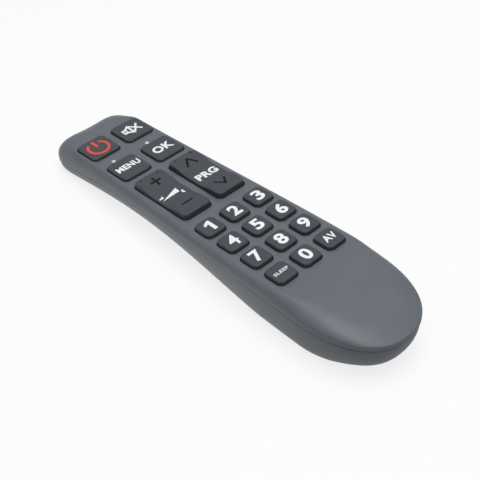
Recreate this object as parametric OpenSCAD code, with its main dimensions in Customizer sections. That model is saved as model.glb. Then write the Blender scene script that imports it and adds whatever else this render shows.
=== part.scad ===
// Universal remote control: a two-shell case with a raised key block,
// two rocker keys, an infrared emitter and a bay for two small cells.
//
// Two frames are used. The deck frame has its origin on the flat deck at
// mid length, +X right, +Y towards the head, +Z out of the deck. The part
// frame stands the case on a table, where the deck slopes by deck_tilt.

/* [Case] */
// Length of the closed case, tail to head
case_len = 184.5; // [182:0.5:200]
// Width across the palm swell
palm_w = 44.6; // [44:0.2:50]
// Width across the head
head_w = 38.6; // [38.2:0.1:42]
// Height of the deck above the table at mid length
deck_h = 19.2; // [18.6:0.1:21]
// Slope of the deck, down towards the head
deck_tilt = 2.6; // [2:0.1:3.5]
// Thickness of the shell walls
wall = 1.6; // [1.3:0.1:1.8]
// Length over which the tail is rounded
tail_round = 33; // [31:0.5:38]
// Length over which the head corners are rounded
head_round = 20.5; // [18:0.5:22]
// Exponent of the head's rounded outline
head_power = 5; // [4:0.1:6]
// Exponent of the tail's rounded outline
tail_power = 2.3; // [2:0.1:2.6]

/* [Case profile] */
// Depth of the seam below the deck at its highest point
seam_waist = 4.3; // [4:0.1:4.6]
// Depth of the seam at the head end
seam_head = 11.1; // [10.6:0.1:11.6]
// Depth of the seam at the tail end
seam_tail = 8.6; // [8.2:0.1:9.4]
// Distance of the seam's highest point from mid length
waist_y = 8; // [2:1:16]
// Rise of the underside over the table at the waist
arch_h = 5.6; // [4:0.1:5.8]
// Distance from where the underside starts to rise to the cells' front ends
arch_lead = 9.4; // [6.4:0.1:10.4]
// Distance from the head end to where the underside has come down again
arch_head = 10; // [9:0.5:14]
// Fall of the top at the tail end, below the plane of the deck
crown_drop = 6.2; // [5:0.1:6.4]
// Length of the tail over which the top falls
crown_len = 41.5; // [38:0.5:42]
// Width of the rounded shoulder beside the large keys
shoulder_w = 2.8; // [2.4:0.1:2.9]
// Width of the rounded shoulder beside the small keys
shoulder_small_w = 3.4; // [3:0.1:3.5]
// Length of the head over which the shoulder widens
nose_l = 18; // [17:0.5:19]
// Width of the long slope down to the head end
shoulder_head_w = 13.5; // [11:0.5:14]
// Width of the rounded shoulder round the tail
shoulder_tail_w = 9; // [7:0.5:10]
// Height of the upright wall above the seam at the waist
band_waist = 1; // [0.8:0.1:1.2]
// Height of the upright wall above the seam at the head
band_head = 2.6; // [2.2:0.1:3]
// Height of the upright wall above the seam at the tail
band_tail = 1.6; // [1.4:0.1:2.4]
// Width of the rounded lower edge along the sides
belly_w = 4.2; // [3.6:0.1:4.8]
// Width of the rounded lower edge at the tail end
belly_tail_w = 11.5; // [10:0.5:12]
// Width of the rounded lower edge at the head end
belly_head_w = 3.5; // [3:0.1:4.5]
// Gap between the two shells, seen as the seam line
seam_gap = 0.35; // [0.2:0.05:0.5]
// Step of the lower shell behind the upper one
seam_step = 0.3; // [0.1:0.05:0.5]
// Height of the lip that lines up the shells
lip_h = 1.1; // [0.8:0.1:1.2]

/* [Keys] */
// Side of a small key
key_w = 9.5; // [9:0.1:9.8]
// Distance between small key columns
key_pitch_x = 12.7; // [12.5:0.1:12.8]
// Distance between small key rows
key_pitch_y = 12.55; // [12.4:0.05:12.8]
// Width of the large keys and the rockers
big_w = 14.25; // [13.5:0.05:14.4]
// Length of the large keys
big_l = 13.95; // [13:0.05:14.2]
// Distance between the two large columns
big_pitch_x = 18.1; // [18:0.1:18.4]
// Distance between the two large key rows
big_pitch_y = 20.9; // [20.6:0.1:21.2]
// Length of the rockers
rocker_l = 32.1; // [31:0.1:32.5]
// Distance from the head end to the first key row's centre
head_margin = 23.9; // [23.4:0.1:24.4]
// Gap between the large keys and the rockers
row_gap = 4.7; // [4.6:0.1:5]
// Gap between the rockers and the small keys
block_gap = 5.7; // [5.6:0.1:6]
// Corner radius of the small keys
key_corner = 2.2; // [1:0.1:2.5]
// Corner radius of the large keys
big_corner = 2.2; // [1.5:0.1:3]
// Height of a small key's edge above the deck
key_rise = 1.4; // [1.2:0.1:2.2]
// Height above the deck of a large key's edge and of a rocker's middle
big_rise = 1; // [0.8:0.1:1.6]
// Radius of the soft edge round a key's top
key_edge = 0.5; // [0.3:0.05:0.8]
// Slope of a key's sides, as the inset of its top
key_draft = 0.1; // [0:0.05:0.2]
// Swell of a key's top above its edge
key_crown = 0.25; // [0.1:0.05:0.4]
// Extra height of a rocker's two ends
saddle_rise = 1.3; // [0.5:0.1:1.6]
// Travel of a push key
key_travel = 1; // [0.8:0.05:1]
// Gap between a key and its opening
key_gap = 0.3; // [0.25:0.05:0.4]
// Extra gap at the ends of a rocker
rocker_gap = 0.2; // [0.15:0.05:0.3]
// Reach of the ears under the deck that keep a key in
rim_w = 0.5; // [0.4:0.05:0.55]
// Width of the ears, as a part of the key's width
rim_part = 0.6; // [0.4:0.05:0.7]
// Thickness of the ears
rim_t = 0.8; // [0.6:0.1:0.9]
// Half length of the rocker's ears beside its pivot
rocker_rim = 4; // [3:0.5:4.5]
// Radius of the rocker's pivot rib
pivot_r = 1; // [0.8:0.05:1]
// Diameter of the contact pill under a key
pill_d = 4.4; // [3.5:0.1:4.6]
// Space round a contact pill in the mat
pill_gap = 0.5; // [0.4:0.1:0.6]
// Distance of a rocker's pills from its pivot
rocker_pill = 11; // [9:0.5:12]

/* [Inside] */
// Running space between pieces that don't touch
clear = 0.3; // [0.25:0.05:0.35]
// Radial space of pieces that fit in one another
fit = 0.04; // [0.02:0.01:0.06]
// Thickness of the rubber mat
mat_t = 0.6; // [0.4:0.1:0.7]
// Space between the edges of the mat and the board
mat_inset = 0.6; // [0.4:0.1:1]
// Thickness of the circuit board
board_t = 1; // [0.8:0.1:1.2]
// Space between the case wall and the board's edge
board_inset = 0.7; // [0.6:0.1:1]
// Extra space between the sloping head end and the board's front edge
board_nose = 2.8; // [2.6:0.1:4]
// Distance of the board's back edge behind the last key row
board_back = 10.4; // [10:0.1:10.6]
// Diameter of the screw posts
post_d = 3.6; // [3.2:0.1:3.8]
// Distance of the head posts behind the head end
post_nose = 9.4; // [9:0.1:9.6]
// Distance of the head posts from the middle line
post_nose_x = 12; // [11:0.5:12.5]
// Distance of the tail posts behind the last key row
post_tail = 3.2; // [3:0.1:4]
// Distance of the tail posts from the middle line
post_tail_x = 14.6; // [14:0.1:15]
// Diameter of the screws
screw_d = 1.6; // [1.4:0.1:1.8]
// Length of the board screws under their heads
screw_l = 3.4; // [3:0.1:3.5]
// Diameter of the board screws' heads
screw_head_d = 3.2; // [2.8:0.1:3.4]
// Height of the screw heads
screw_head_h = 1.1; // [0.9:0.1:1.3]
// Diameter of the infrared emitter
emitter_d = 5; // [4.6:0.1:5]
// Distance of the emitter's tip behind the head end
emitter_tip = 0.9; // [0.8:0.1:1.5]
// Length of the infrared emitter
emitter_l = 8.6; // [8:0.1:9]
// Depth of the emitter's axis below the deck
emitter_z = 6.5; // [6.3:0.1:6.7]
// Diameter of the two indicator lenses
lens_d = 1.8; // [1.6:0.1:1.9]
// Distance of the chip resistors from the middle line
resistor_x = 6; // [5.5:0.5:8]
// Distance between neighbouring chip resistors
resistor_pitch = 4; // [3:0.5:5]
// Distance of a lens from the edge of the key below it
lens_gap = 1.7; // [1.6:0.1:2]
// Distance of a lens from its key's middle line
lens_x = 1.4; // [0:0.1:3]
// Height of the lenses above the deck
lens_rise = 0.4; // [0.2:0.05:0.6]

/* [Battery bay] */
// Diameter of a cell
cell_d = 10.3; // [10:0.1:10.3]
// Length of a cell without its button
cell_l = 43.5; // [43:0.1:44]
// Diameter of a cell's button
cell_button_d = 3.6; // [3:0.1:3.8]
// Height of a cell's button
cell_button_h = 0.9; // [0.8:0.1:1]
// Height of the cells' axes above the table
cell_z = 8; // [7.95:0.05:8.1]
// Distance from the tail end to the cells' tail ends
cell_tail = 18; // [17.6:0.1:18.6]
// Length of a contact spring
spring_l = 2.6; // [2.2:0.1:3]
// Outer diameter of a contact spring
spring_d = 6.4; // [5:0.1:7]
// Diameter of the spring wire
wire_d = 0.6; // [0.5:0.05:0.7]
// Turns of a contact spring
spring_turns = 3; // [2:1:4]
// Thickness of the contact plates
plate_t = 0.4; // [0.3:0.05:0.5]
// Thickness of the bay's walls
bay_wall = 1.2; // [1:0.1:1.4]
// Width of the battery door
door_w = 26; // [25.6:0.1:27]
// Distance from the cells' front ends to the door's front edge
door_front = 3; // [2.8:0.1:3.4]
// Height up to which the door wraps round the tail
door_wrap = 4.4; // [4:0.1:4.6]
// Height of the door's inner face along the bay
door_top = 2.5; // [2.4:0.1:2.6]
// Travel that frees the door
door_travel = 8; // [6:0.5:8]
// Reach of the door's tongues into the case
tongue_w = 1; // [0.8:0.1:1.1]
// Distance between the door's tongues
tongue_pitch = 18; // [17:0.5:18.5]
// Length of the door's tongues
tongue_l = 6; // [5:0.5:7]
// Thickness of the door's tongues
tongue_t = 0.6; // [0.5:0.05:0.6]
// Width of the latch at the door's front edge
latch_w = 7; // [5:0.5:8]
// Reach of the latch into the case
latch_l = 1; // [0.8:0.1:1.2]
// Thickness of the case's lip under the latch
latch_lip = 0.6; // [0.5:0.1:0.7]
// Width of the finger grip under the door
grip_w = 12; // [10:0.5:14]
// Distance of the finger grip from the door's front edge
grip_back = 18; // [16:0.5:22]
// Distance between the ridges of the finger grip
grip_pitch = 2; // [1.8:0.1:2.2]
// Diameter of the case screw
case_screw_d = 2; // [1.8:0.1:2.2]
// Length of the case screw under its head
case_screw_l = 8; // [7:0.5:9]
// Distance of the case screw from the tail end
case_screw_tail = 7.6; // [7.2:0.1:8]
// Diameter of the case screw's head
case_screw_head = 3.8; // [3.4:0.1:3.8]
// Diameter of the boss for the case screw
boss_d = 4.6; // [4.2:0.1:5]

/* [Hidden] */
SIDES = ["left", "right"];

// Colours
case_colour = [0.42, 0.44, 0.46];
key_colour = [0.2, 0.21, 0.23];
mat_colour = [0.14, 0.14, 0.15];
board_colour = [0.1, 0.35, 0.2];
metal_colour = [0.75, 0.76, 0.78];
lens_colour = [0.85, 0.92, 0.96];
chip_colour = [0.08, 0.08, 0.09];
cell_colour = [0.2, 0.3, 0.5];

// Facets of round cuts and of the lofted outlines
$fn = 32;
tail_steps = 14;
side_steps = 9;
head_steps = 13;
edge_steps = 5;
corner_steps = 4;
rocker_steps = 7;

half_len = case_len / 2;
slope = tan(deck_tilt);

// Places of the keys in the deck frame
power_y = half_len - head_margin;
menu_y = power_y - big_pitch_y;
rocker_y = menu_y - big_l / 2 - row_gap - rocker_l / 2;
digit_y = rocker_y - rocker_l / 2 - block_gap - key_w / 2;
last_row_y = digit_y - 3 * key_pitch_y;
big_x = big_pitch_x / 2;

// Each key: name, x, y, width, length, corner radius, height of its edge
function small_key(name, col, row) =
    [name, (col - 1) * key_pitch_x, digit_y - row * key_pitch_y, key_w, key_w, key_corner, key_rise];
function large_key(name, side, y) = [name, side * big_x, y, big_w, big_l, big_corner, big_rise];
function rocker_key(name, side) = [name, side * big_x, rocker_y, big_w, rocker_l, big_corner, big_rise];
PUSH_KEYS = [
    large_key("key_power", -1, power_y), large_key("key_mute", 1, power_y),
    large_key("key_menu", -1, menu_y), large_key("key_ok", 1, menu_y),
    small_key("key_1", 0, 0), small_key("key_2", 1, 0), small_key("key_3", 2, 0),
    small_key("key_4", 0, 1), small_key("key_5", 1, 1), small_key("key_6", 2, 1),
    small_key("key_7", 0, 2), small_key("key_8", 1, 2), small_key("key_9", 2, 2),
    small_key("key_sleep", 0, 3), small_key("key_0", 1, 3), small_key("key_av", 2, 3)];
ROCKERS = [rocker_key("rocker_volume", -1), rocker_key("rocker_program", 1)];

// Levels of the stack under the deck
ear_top = -wall - clear;
cap_bottom = ear_top - rim_t;
pill_bottom = cap_bottom - 2 * clear;
mat_top = cap_bottom - key_travel - clear;
board_top = mat_top - mat_t;
board_bottom = board_top - board_t;

// Places of the posts that carry the board, in the deck frame
nose_post_y = half_len - post_nose;
tail_post_y = last_row_y - key_w / 2 - post_tail;
POSTS = [
    [-post_nose_x, nose_post_y], [post_nose_x, nose_post_y],
    [0, (power_y + menu_y) / 2],
    [0, menu_y - (big_l + row_gap) / 2],
    [0, digit_y + (key_w + block_gap) / 2],
    [-post_tail_x, tail_post_y], [post_tail_x, tail_post_y]];

// Places of the indicator lenses, above the second row of large keys
lens_y = menu_y + big_l / 2 + lens_gap;
LENS_X = [-big_x - lens_x, big_x - lens_x];

function clamp01(t) = max(0, min(1, t));
function ease(t) = t * t * (3 - 2 * t);
function mix(a, b, t) = a + (b - a) * t;
function backwards(v) = [for (i = [len(v) - 1:-1:0]) v[i]];
function quarter(steps) = [for (i = [0:steps]) 90 * i / steps];

// Point on a quarter of a rounded outline: exponent 2 is an ellipse, more is squarer
function bow(a, power) = [pow(max(0, cos(a)), 2 / power), pow(sin(a), 2 / power)];

// Outline of the case: right side from the tail tip to the head tip
palm_y = -half_len + tail_round;
corner_y = half_len - head_round;
function side_half(y) = mix(palm_w, head_w, ease(clamp01((y - palm_y) / (corner_y - palm_y)))) / 2;
case_right = concat(
    [for (a = backwards(quarter(tail_steps))) let (b = bow(a, tail_power))
        if (a > 0) [palm_w / 2 * b.x, palm_y - tail_round * b.y]],
    [for (i = [0:side_steps - 1]) let (y = mix(palm_y, corner_y, i / side_steps)) [side_half(y), y]],
    [for (i = [0:head_steps]) let (b = bow(90 * ease(i / head_steps), head_power))
        [head_w / 2 * b.x, corner_y + head_round * b.y]]);

// Closes a right half into a loop that is even about the middle
function loop(right) = concat(right, [for (i = [len(right) - 2:-1:1]) [-right[i].x, right[i].y]]);
case_loop = loop(case_right);

// The spine is the middle line that the case's rings shrink towards
spine_tail = palm_y - 12;
spine_head = corner_y + 4;
function spine(p) = [0, max(spine_tail, min(spine_head, p.y))];
function inward(p, d) = let (s = spine(p) - p) p + s * min(1, d / norm(s));

// Heights along the case, in the deck frame
function from_waist(y, at_waist, at_head, at_tail) =
    let (t = y > waist_y ? (y - waist_y) / (half_len - waist_y) : (waist_y - y) / (half_len + waist_y))
    mix(at_waist, y > waist_y ? at_head : at_tail, t * t);
function seam_z(y) = -from_waist(y, seam_waist, seam_head, seam_tail);
function band_z(y) = seam_z(y) + from_waist(y, band_waist, band_head, band_tail);
function crown_z(y) = -crown_drop * pow(clamp01((crown_len - half_len - y) / crown_len), 2);
bay_tail = -half_len + cell_tail;
bay_head = bay_tail + cell_l + cell_button_h;
arch_start = bay_head - arch_lead;
arch_l = half_len - arch_head - arch_start;
arch_power = 1.3;
function arch(y) = arch_h * pow(sin(180 * clamp01((y - arch_start) / arch_l)), arch_power);
function base_z(y) = -deck_h + y * slope + arch(y);

// Widths of the rounded edges along the case
nose_y = half_len - nose_l;
palm_start = last_row_y - key_w / 2;
palm_l = 18;
function nose(y) = ease(clamp01((y - nose_y) / (half_len - nose_y)));
function palm(y) = ease(clamp01((palm_start - y) / palm_l));
function beside_keys(y) = mix(shoulder_w, shoulder_small_w, ease(clamp01((menu_y - y) / (menu_y - digit_y))));
function shoulder(y) = mix(mix(beside_keys(y), shoulder_tail_w, palm(y)), shoulder_head_w, nose(y));
function belly(y) = y < palm_y
    ? mix(belly_w, belly_tail_w, ease((palm_y - y) / tail_round))
    : mix(belly_w, belly_head_w, ease(clamp01((y - corner_y) / head_round)));

// Rings round the case: skin is 0 on the outside and the wall's thickness on the inside
function seam_ring(skin, rise) = [for (p = case_loop)
    let (q = inward(p, skin)) [q.x, q.y, seam_z(p.y) + rise]];
function shoulder_foot(y, skin) = skin > 0 ? max(band_z(y) - skin / 2, seam_z(y) + lip_h) : band_z(y);
function shoulder_ring(skin, a) = [for (p = case_loop)
    let (q = inward(p, mix(skin, shoulder(p.y), 1 - cos(a))))
    [q.x, q.y, mix(shoulder_foot(p.y, skin), crown_z(q.y) - skin, sin(a))]];
function deck_ring(skin, t) = [for (p = case_loop)
    let (q = mix(inward(p, shoulder(p.y)), spine(p), t)) [q.x, q.y, crown_z(q.y) - skin]];
function belly_ring(skin, a) = [for (p = case_loop)
    let (q = inward(p, mix(max(skin, seam_step), belly(p.y), 1 - cos(a))))
    [q.x, q.y, mix(seam_z(p.y) - seam_gap, base_z(q.y) + skin, sin(a))]];
function base_ring(skin, t) = [for (p = case_loop)
    let (q = mix(inward(p, belly(p.y)), spine(p), t)) [q.x, q.y, base_z(q.y) + skin]];

// Stands a point or a piece of the deck frame on the table
function on_table(p) = [p.x, p.y * cos(deck_tilt) + p.z * sin(deck_tilt),
    -p.y * sin(deck_tilt) + (p.z + deck_h) * cos(deck_tilt)];
reach = [for (r = [seam_ring(0, 0), shoulder_ring(0, 0)], p = r) on_table(p).y];
centre_y = (max(reach) + min(reach)) / 2;
module seated() {
    translate([0, -centre_y, deck_h * cos(deck_tilt)]) rotate([-deck_tilt, 0, 0]) children();
}

// Lengthwise places of the battery bay, on the table
tail_plate_y = bay_tail - spring_l;
head_plate_y = bay_head + spring_l;
bay_back = tail_plate_y - plate_t - bay_wall;
bay_front = head_plate_y + plate_t + bay_wall;
wrap_y = bay_back - clear;
door_y = bay_head + door_front;
screw_y = -half_len + case_screw_tail;

// Crosswise places and heights of the battery bay
cell_x = (cell_d + clear) / 2;
bay_half = cell_x + cell_d / 2 + 1.5 * clear;
bay_top = cell_z + cell_d / 2;
ledge_w = 4.7;
ledge_top = door_top + clear + 1;
rib_top = 9;
plate_low = door_top + 2 * clear;
plate_high = bay_top - 0.8;
door_rise = on_table([0, door_y, base_z(door_y)]).z;
latch_z = door_rise + latch_lip + clear;
tongue_z = 0.9;
TONGUES_Y = [door_y - 2 * tongue_pitch, door_y - tongue_pitch];
shelf_z = door_wrap + 2 * clear + screw_head_h;
grip_y = door_y - grip_back;
grip_h = 0.4;

// A closed solid through a list of rings; both end rings are bridged across their middle
module loft(rings) {
    n = len(rings[0]);
    top = (len(rings) - 1) * n;
    sides = [for (k = [0:len(rings) - 2], i = [0:n - 1])
        let (a = k * n + i, b = k * n + (i + 1) % n) each [[a, a + n, b + n], [a, b + n, b]]];
    caps = [for (i = [0:n / 2 - 1]) let (r0 = i, r1 = i + 1, l0 = (n - i) % n, l1 = n - i - 1) each [
        if (i > 0) each [[r0, r1, l0], [top + l0, top + r1, top + r0]],
        if (i < n / 2 - 1) each [[l0, r1, l1], [top + l1, top + r1, top + l0]]]];
    polyhedron(points = [for (r = rings) each r], faces = concat(sides, caps), convexity = 8);
}

// Rounded rectangle with true arcs
module rounded(w, l, r) {
    square([w - 2 * r, l], center = true);
    square([w, l - 2 * r], center = true);
    for (x = [-1, 1], y = [-1, 1]) translate([x * (w / 2 - r), y * (l / 2 - r)]) circle(r);
}

// Box between two corners
module block(low, high) {
    translate(low) cube(high - low);
}

// Both sides of the case
module both_sides() {
    for (m = [0, 1]) mirror([m, 0, 0]) children();
}

module case_shell() {
    loft(concat([deck_ring(wall, 0.8), deck_ring(wall, 0.4)],
        [for (a = backwards(quarter(edge_steps))) shoulder_ring(wall, a)],
        [seam_ring(wall / 2, lip_h), seam_ring(wall / 2, 0), seam_ring(0, 0)],
        [for (a = quarter(edge_steps)) shoulder_ring(0, a)],
        [deck_ring(0, 0.4), deck_ring(0, 0.8)]));
}

lip_skin = (wall + clear) / 2;
lip_top = lip_h - clear / 2;
module tray_shell() {
    loft(concat([base_ring(0, 0.8), base_ring(0, 0.4)],
        [for (a = backwards(quarter(edge_steps))) belly_ring(0, a)],
        [seam_ring(lip_skin, -seam_gap), seam_ring(lip_skin, lip_top), seam_ring(wall, lip_top)],
        [for (a = quarter(edge_steps)) belly_ring(wall, a)],
        [base_ring(wall, 0.4), base_ring(wall, 0.8)]));
}

// Space inside the lower shell, out to the middle of its wall
module tray_core() {
    loft(concat([base_ring(wall / 2, 0.8), base_ring(wall / 2, 0.4)],
        [for (a = backwards(quarter(edge_steps))) belly_ring(wall / 2, a)]));
}

// Upper shell: key openings, posts for the board, the case screw's boss, the emitter's hole
boss_top = on_table([0, screw_y, crown_z(screw_y) - 0.7 * wall]).z;
boss_bottom = shelf_z + bay_wall + clear;
module upper_case() color(case_colour) {
    difference() {
        union() {
            seated() case_shell();
            seated() for (p = POSTS) translate([p.x, p.y, board_top])
                cylinder(d = post_d, h = -board_top - wall + clear);
            translate([0, screw_y, boss_bottom]) cylinder(d = boss_d, h = boss_top - boss_bottom);
        }
        seated() {
            for (k = PUSH_KEYS) key_opening(k, key_gap);
            for (k = ROCKERS) key_opening(k, key_gap + rocker_gap);
            for (x = LENS_X) translate([x, lens_y, -2 * wall]) cylinder(d = lens_d + 2 * fit, h = 3 * wall);
            for (p = POSTS) translate([p.x, p.y, board_bottom])
                cylinder(d = screw_d + 2 * fit, h = -board_bottom - wall - clear);
            translate([0, half_len + 1, -emitter_z]) rotate([90, 0, 0])
                cylinder(d = emitter_d + 2 * fit, h = emitter_l);
        }
        translate([0, screw_y, shelf_z]) cylinder(d = case_screw_d + 2 * fit, h = case_screw_l + clear);
    }
}

module key_opening(k, end_gap) {
    translate([k[1], k[2], -2 * wall]) linear_extrude(3 * wall)
        rounded(k[3] + 2 * key_gap, k[4] + 2 * end_gap, k[5] + key_gap);
}

// Lower shell with the frame of the battery bay and the shelf for the case screw
module lower_case() color(case_colour) {
    difference() {
        union() {
            seated() tray_shell();
            intersection() {
                seated() tray_core();
                bay_frame();
            }
        }
        door_space(clear);
        tongue_slots();
        block([-latch_w / 2 - clear, door_y, latch_z - clear],
            [latch_w / 2 + clear, door_y + latch_l + clear, latch_z + tongue_t + clear]);
        translate([0, screw_y, 0]) cylinder(d = case_screw_d + 2 * clear, h = shelf_z + 2 * bay_wall);
    }
}

module bay_frame() {
    both_sides() {
        block([bay_half, bay_back, 0], [bay_half + bay_wall, bay_front, bay_top]);
        block([bay_half, bay_back, 0], [bay_half + ledge_w, bay_front, ledge_top]);
        for (t = [0.15, 0.5, 0.85])
            translate([0, mix(bay_back, bay_front, t), 0])
                block([bay_half, -bay_wall / 2, 0], [bay_half + ledge_w, bay_wall / 2, rib_top]);
    }
    block([-bay_half, bay_back, 0], [bay_half, bay_back + bay_wall, bay_top]);
    block([-bay_half, bay_front - bay_wall, 0], [bay_half, bay_front, bay_top]);
    block([-boss_d, -case_len, shelf_z], [boss_d, bay_back + bay_wall, shelf_z + bay_wall]);
}

// Space that the door takes in the lower shell, low along the bay and higher round the tail
module door_space(gap) {
    half = door_w / 2 + gap;
    block([-half, wrap_y - wall, -wall], [half, door_y + gap, door_top + gap]);
    block([-half, -case_len, -wall], [half, wrap_y, door_wrap + gap]);
}

// Slots for the tongues: closed below at rest, open below where the door comes free
module tongue_slots() {
    side = door_w / 2 + tongue_w + clear;
    both_sides() for (y = TONGUES_Y) {
        block([door_w / 2, y - door_travel - clear, tongue_z - clear],
            [side, y + tongue_l + clear, tongue_z + tongue_t + clear]);
        block([door_w / 2, y - door_travel - clear, -wall],
            [side, y + tongue_l - door_travel + clear, tongue_z]);
    }
}

// Sliding battery door, cut from the same form as the lower shell
module battery_door() color(case_colour) {
    difference() {
        union() {
            intersection() {
                seated() tray_shell();
                door_space(0);
            }
            both_sides() for (y = TONGUES_Y)
                block([door_w / 2 - tongue_w, y, tongue_z],
                    [door_w / 2 + tongue_w, y + tongue_l, tongue_z + tongue_t]);
            block([-latch_w / 2, door_y - 3, latch_z], [latch_w / 2, door_y + latch_l, latch_z + tongue_t]);
        }
        difference() {
            block([-grip_w / 2, grip_y - 3 * grip_pitch, -wall],
                [grip_w / 2, grip_y + 3 * grip_pitch, grip_h]);
            for (i = [-2:2]) translate([0, grip_y + i * grip_pitch, 0])
                block([-grip_w / 2, -grip_pitch / 5, 0], [grip_w / 2, grip_pitch / 5, grip_h]);
        }
    }
}

// Plates of the stack in the outline of the case, with the emitter's notch in the head end
notch_w = emitter_d + 4 * clear;
notch_y = half_len - emitter_tip - emitter_l - clear;
board_end = last_row_y - board_back;
function inset_loop(d) = [for (p = case_loop) inward(p, wall + board_inset + d + board_nose * nose(p.y))];
module stack_plate(bottom, t, inset) {
    translate([0, 0, bottom]) linear_extrude(t) difference() {
        polygon(inset_loop(inset));
        translate([-palm_w, board_end + inset - case_len]) square([2 * palm_w, case_len]);
        translate([-notch_w / 2, notch_y]) square([notch_w, head_round]);
    }
}

module stack_hole(x, y, d) {
    translate([x, y, board_bottom - board_t]) cylinder(d = d, h = 3 * board_t + mat_t);
}

// Rubber mat: seals the key openings and keeps the caps' pills off the board
module key_mat() color(mat_colour) seated() difference() {
    stack_plate(board_top, mat_t, mat_inset);
    for (p = POSTS) stack_hole(p.x, p.y, post_d + 2 * clear);
    for (k = PUSH_KEYS) stack_hole(k[1], k[2], pill_d + 2 * pill_gap);
    for (k = ROCKERS, s = [-1, 1]) stack_hole(k[1], k[2] + s * rocker_pill, pill_d + 2 * pill_gap);
    for (x = LENS_X) stack_hole(x, lens_y, lens_d + 4 * clear);
}

module circuit_board() color(board_colour) seated() difference() {
    stack_plate(board_bottom, board_t, 0);
    for (p = POSTS) stack_hole(p.x, p.y, screw_d + 2 * clear);
}

// Outline of a key's right half, from the middle of its tail side to the middle of its head side
function key_half(w, l, r, steps) = concat([[0, -l / 2]],
    [for (a = quarter(corner_steps)) [w / 2 - r + r * sin(a), -l / 2 + r - r * cos(a)]],
    [for (i = [1:1:steps]) [w / 2, mix(-l / 2 + r, l / 2 - r, i / (steps + 1))]],
    [for (a = quarter(corner_steps)) [w / 2 - r + r * cos(a), l / 2 - r + r * sin(a)]],
    [[0, l / 2]]);
function cap_loop(k, inset, steps) =
    loop(key_half(k[3] - 2 * inset, k[4] - 2 * inset, k[5] - inset, steps));

// Cap of a key: straight sides, a soft edge and a crowned top; a saddle lifts a rocker's ends
module key_cap(k, steps, saddle, pull) {
    foot = [for (p = cap_loop(k, 0, steps)) [p.x, p.y, cap_bottom]];
    edge = [for (a = quarter(3)) [for (p = cap_loop(k, key_draft + key_edge * (1 - cos(a)), steps))
        [p.x, p.y, k[6] - key_edge * (1 - sin(a)) + saddle * pow(2 * p.y / k[4], 2)]]];
    rim = cap_loop(k, key_draft + key_edge, steps);
    top = [for (t = [0.4, 0.8]) [for (p = rim) let (y = p.y * (1 - pull * t))
        [p.x * (1 - t), y, k[6] + key_crown * (1 - pow(1 - t, 2)) + saddle * pow(2 * y / k[4], 2)]]];
    loft(concat([foot], edge, top));
}

module pill(y) {
    translate([0, y, pill_bottom]) cylinder(d = pill_d, h = cap_bottom - pill_bottom + clear);
}

module push_key(k) color(key_colour) seated() translate([k[1], k[2], 0]) {
    ear = [rim_part * k[3] / 2, k[4] / 2 + rim_w, 0];
    key_cap(k, 0, 0, 1);
    block([-ear.x, -ear.y, cap_bottom], [ear.x, ear.y, ear_top]);
    pill(0);
}

// Rocker: tips about a rib under its middle, with a pill under each end
module rocker(k) color(key_colour) seated() translate([k[1], k[2], 0]) {
    ear = [k[3] / 2 + rim_w, rocker_rim, 0];
    key_cap(k, rocker_steps, saddle_rise, 0.1);
    block([-ear.x, -ear.y, cap_bottom], [ear.x, ear.y, ear_top - clear]);
    translate([-k[3] / 2, 0, cap_bottom]) rotate([0, 90, 0]) cylinder(r = pivot_r, h = k[3]);
    for (s = [-1, 1]) pill(s * rocker_pill);
}

// Light pipe in the deck, with a low dome
led_h = 0.7;
module indicator_lens(x) color(lens_colour) seated() {
    dome_r = 1.5;
    bottom = board_top + led_h + clear;
    translate([x, lens_y, 0]) intersection() {
        translate([0, 0, bottom]) cylinder(d = lens_d, h = lens_rise - bottom);
        translate([0, 0, lens_rise - dome_r]) union() {
            sphere(dome_r);
            translate([0, 0, -case_len]) cylinder(r = dome_r, h = case_len);
        }
    }
}

module indicator_led(x) color(lens_colour) seated() {
    translate([x, lens_y, board_top + led_h / 2]) cube([1.6, 0.8, led_h], center = true);
}

// Infrared emitter lying in the board's notch, its leads soldered under the board
module infrared_emitter() color(lens_colour) seated() {
    lead_w = 0.5;
    translate([0, half_len - emitter_tip, -emitter_z]) rotate([90, 0, 0]) {
        translate([0, 0, emitter_d / 2]) sphere(d = emitter_d);
        translate([0, 0, emitter_d / 2]) cylinder(d = emitter_d, h = emitter_l - emitter_d / 2);
        translate([0, 0, emitter_l - 1]) cylinder(d = emitter_d + 0.8, h = 1);
    }
    both_sides() translate([1.27, notch_y + clear, board_bottom])
        block([-lead_w / 2, -5, -lead_w], [lead_w / 2, 0.5, 0]);
}

// Pieces soldered under the board: each is drawn with the board's lower face at z = 0
module under_board(x, y) {
    seated() translate([x, y, board_bottom]) children();
}

chip = [7.5, 12.8, 2.3];
module controller_chip() under_board(0, rocker_y) {
    color(chip_colour) translate([0, 0, -chip.z / 2 - 0.1])
        cube([chip.x, chip.y, chip.z - 0.2], center = true);
    color(metal_colour) both_sides() for (i = [0:9]) translate([chip.x / 2, (i - 4.5) * 1.27, 0]) {
        block([-0.2, -0.2, -1.3], [0.5, 0.2, -1.1]);
        block([0.3, -0.2, -1.3], [0.5, 0.2, 0]);
        block([0.3, -0.2, -0.2], [1.3, 0.2, 0]);
    }
}

module resonator() color([0.2, 0.3, 0.7]) under_board(big_x, menu_y - big_l / 2 - row_gap) {
    block([-3.7, -1.5, -3.4], [3.7, 1.5, -0.4]);
    for (x = [-2.5, 0, 2.5]) translate([x, 0, -1]) cylinder(d = 0.6, h = 1);
}

module capacitor() under_board(-big_x - 1, power_y - 3.5) {
    color(chip_colour) translate([0, 4, -2.6]) rotate([90, 0, 0]) cylinder(d = 5, h = 8);
    color(metal_colour) for (x = [-1, 1]) translate([x, -5, -2.6]) {
        rotate([-90, 0, 0]) cylinder(d = 0.5, h = 2);
        cylinder(d = 0.5, h = 2.6);
    }
}

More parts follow.
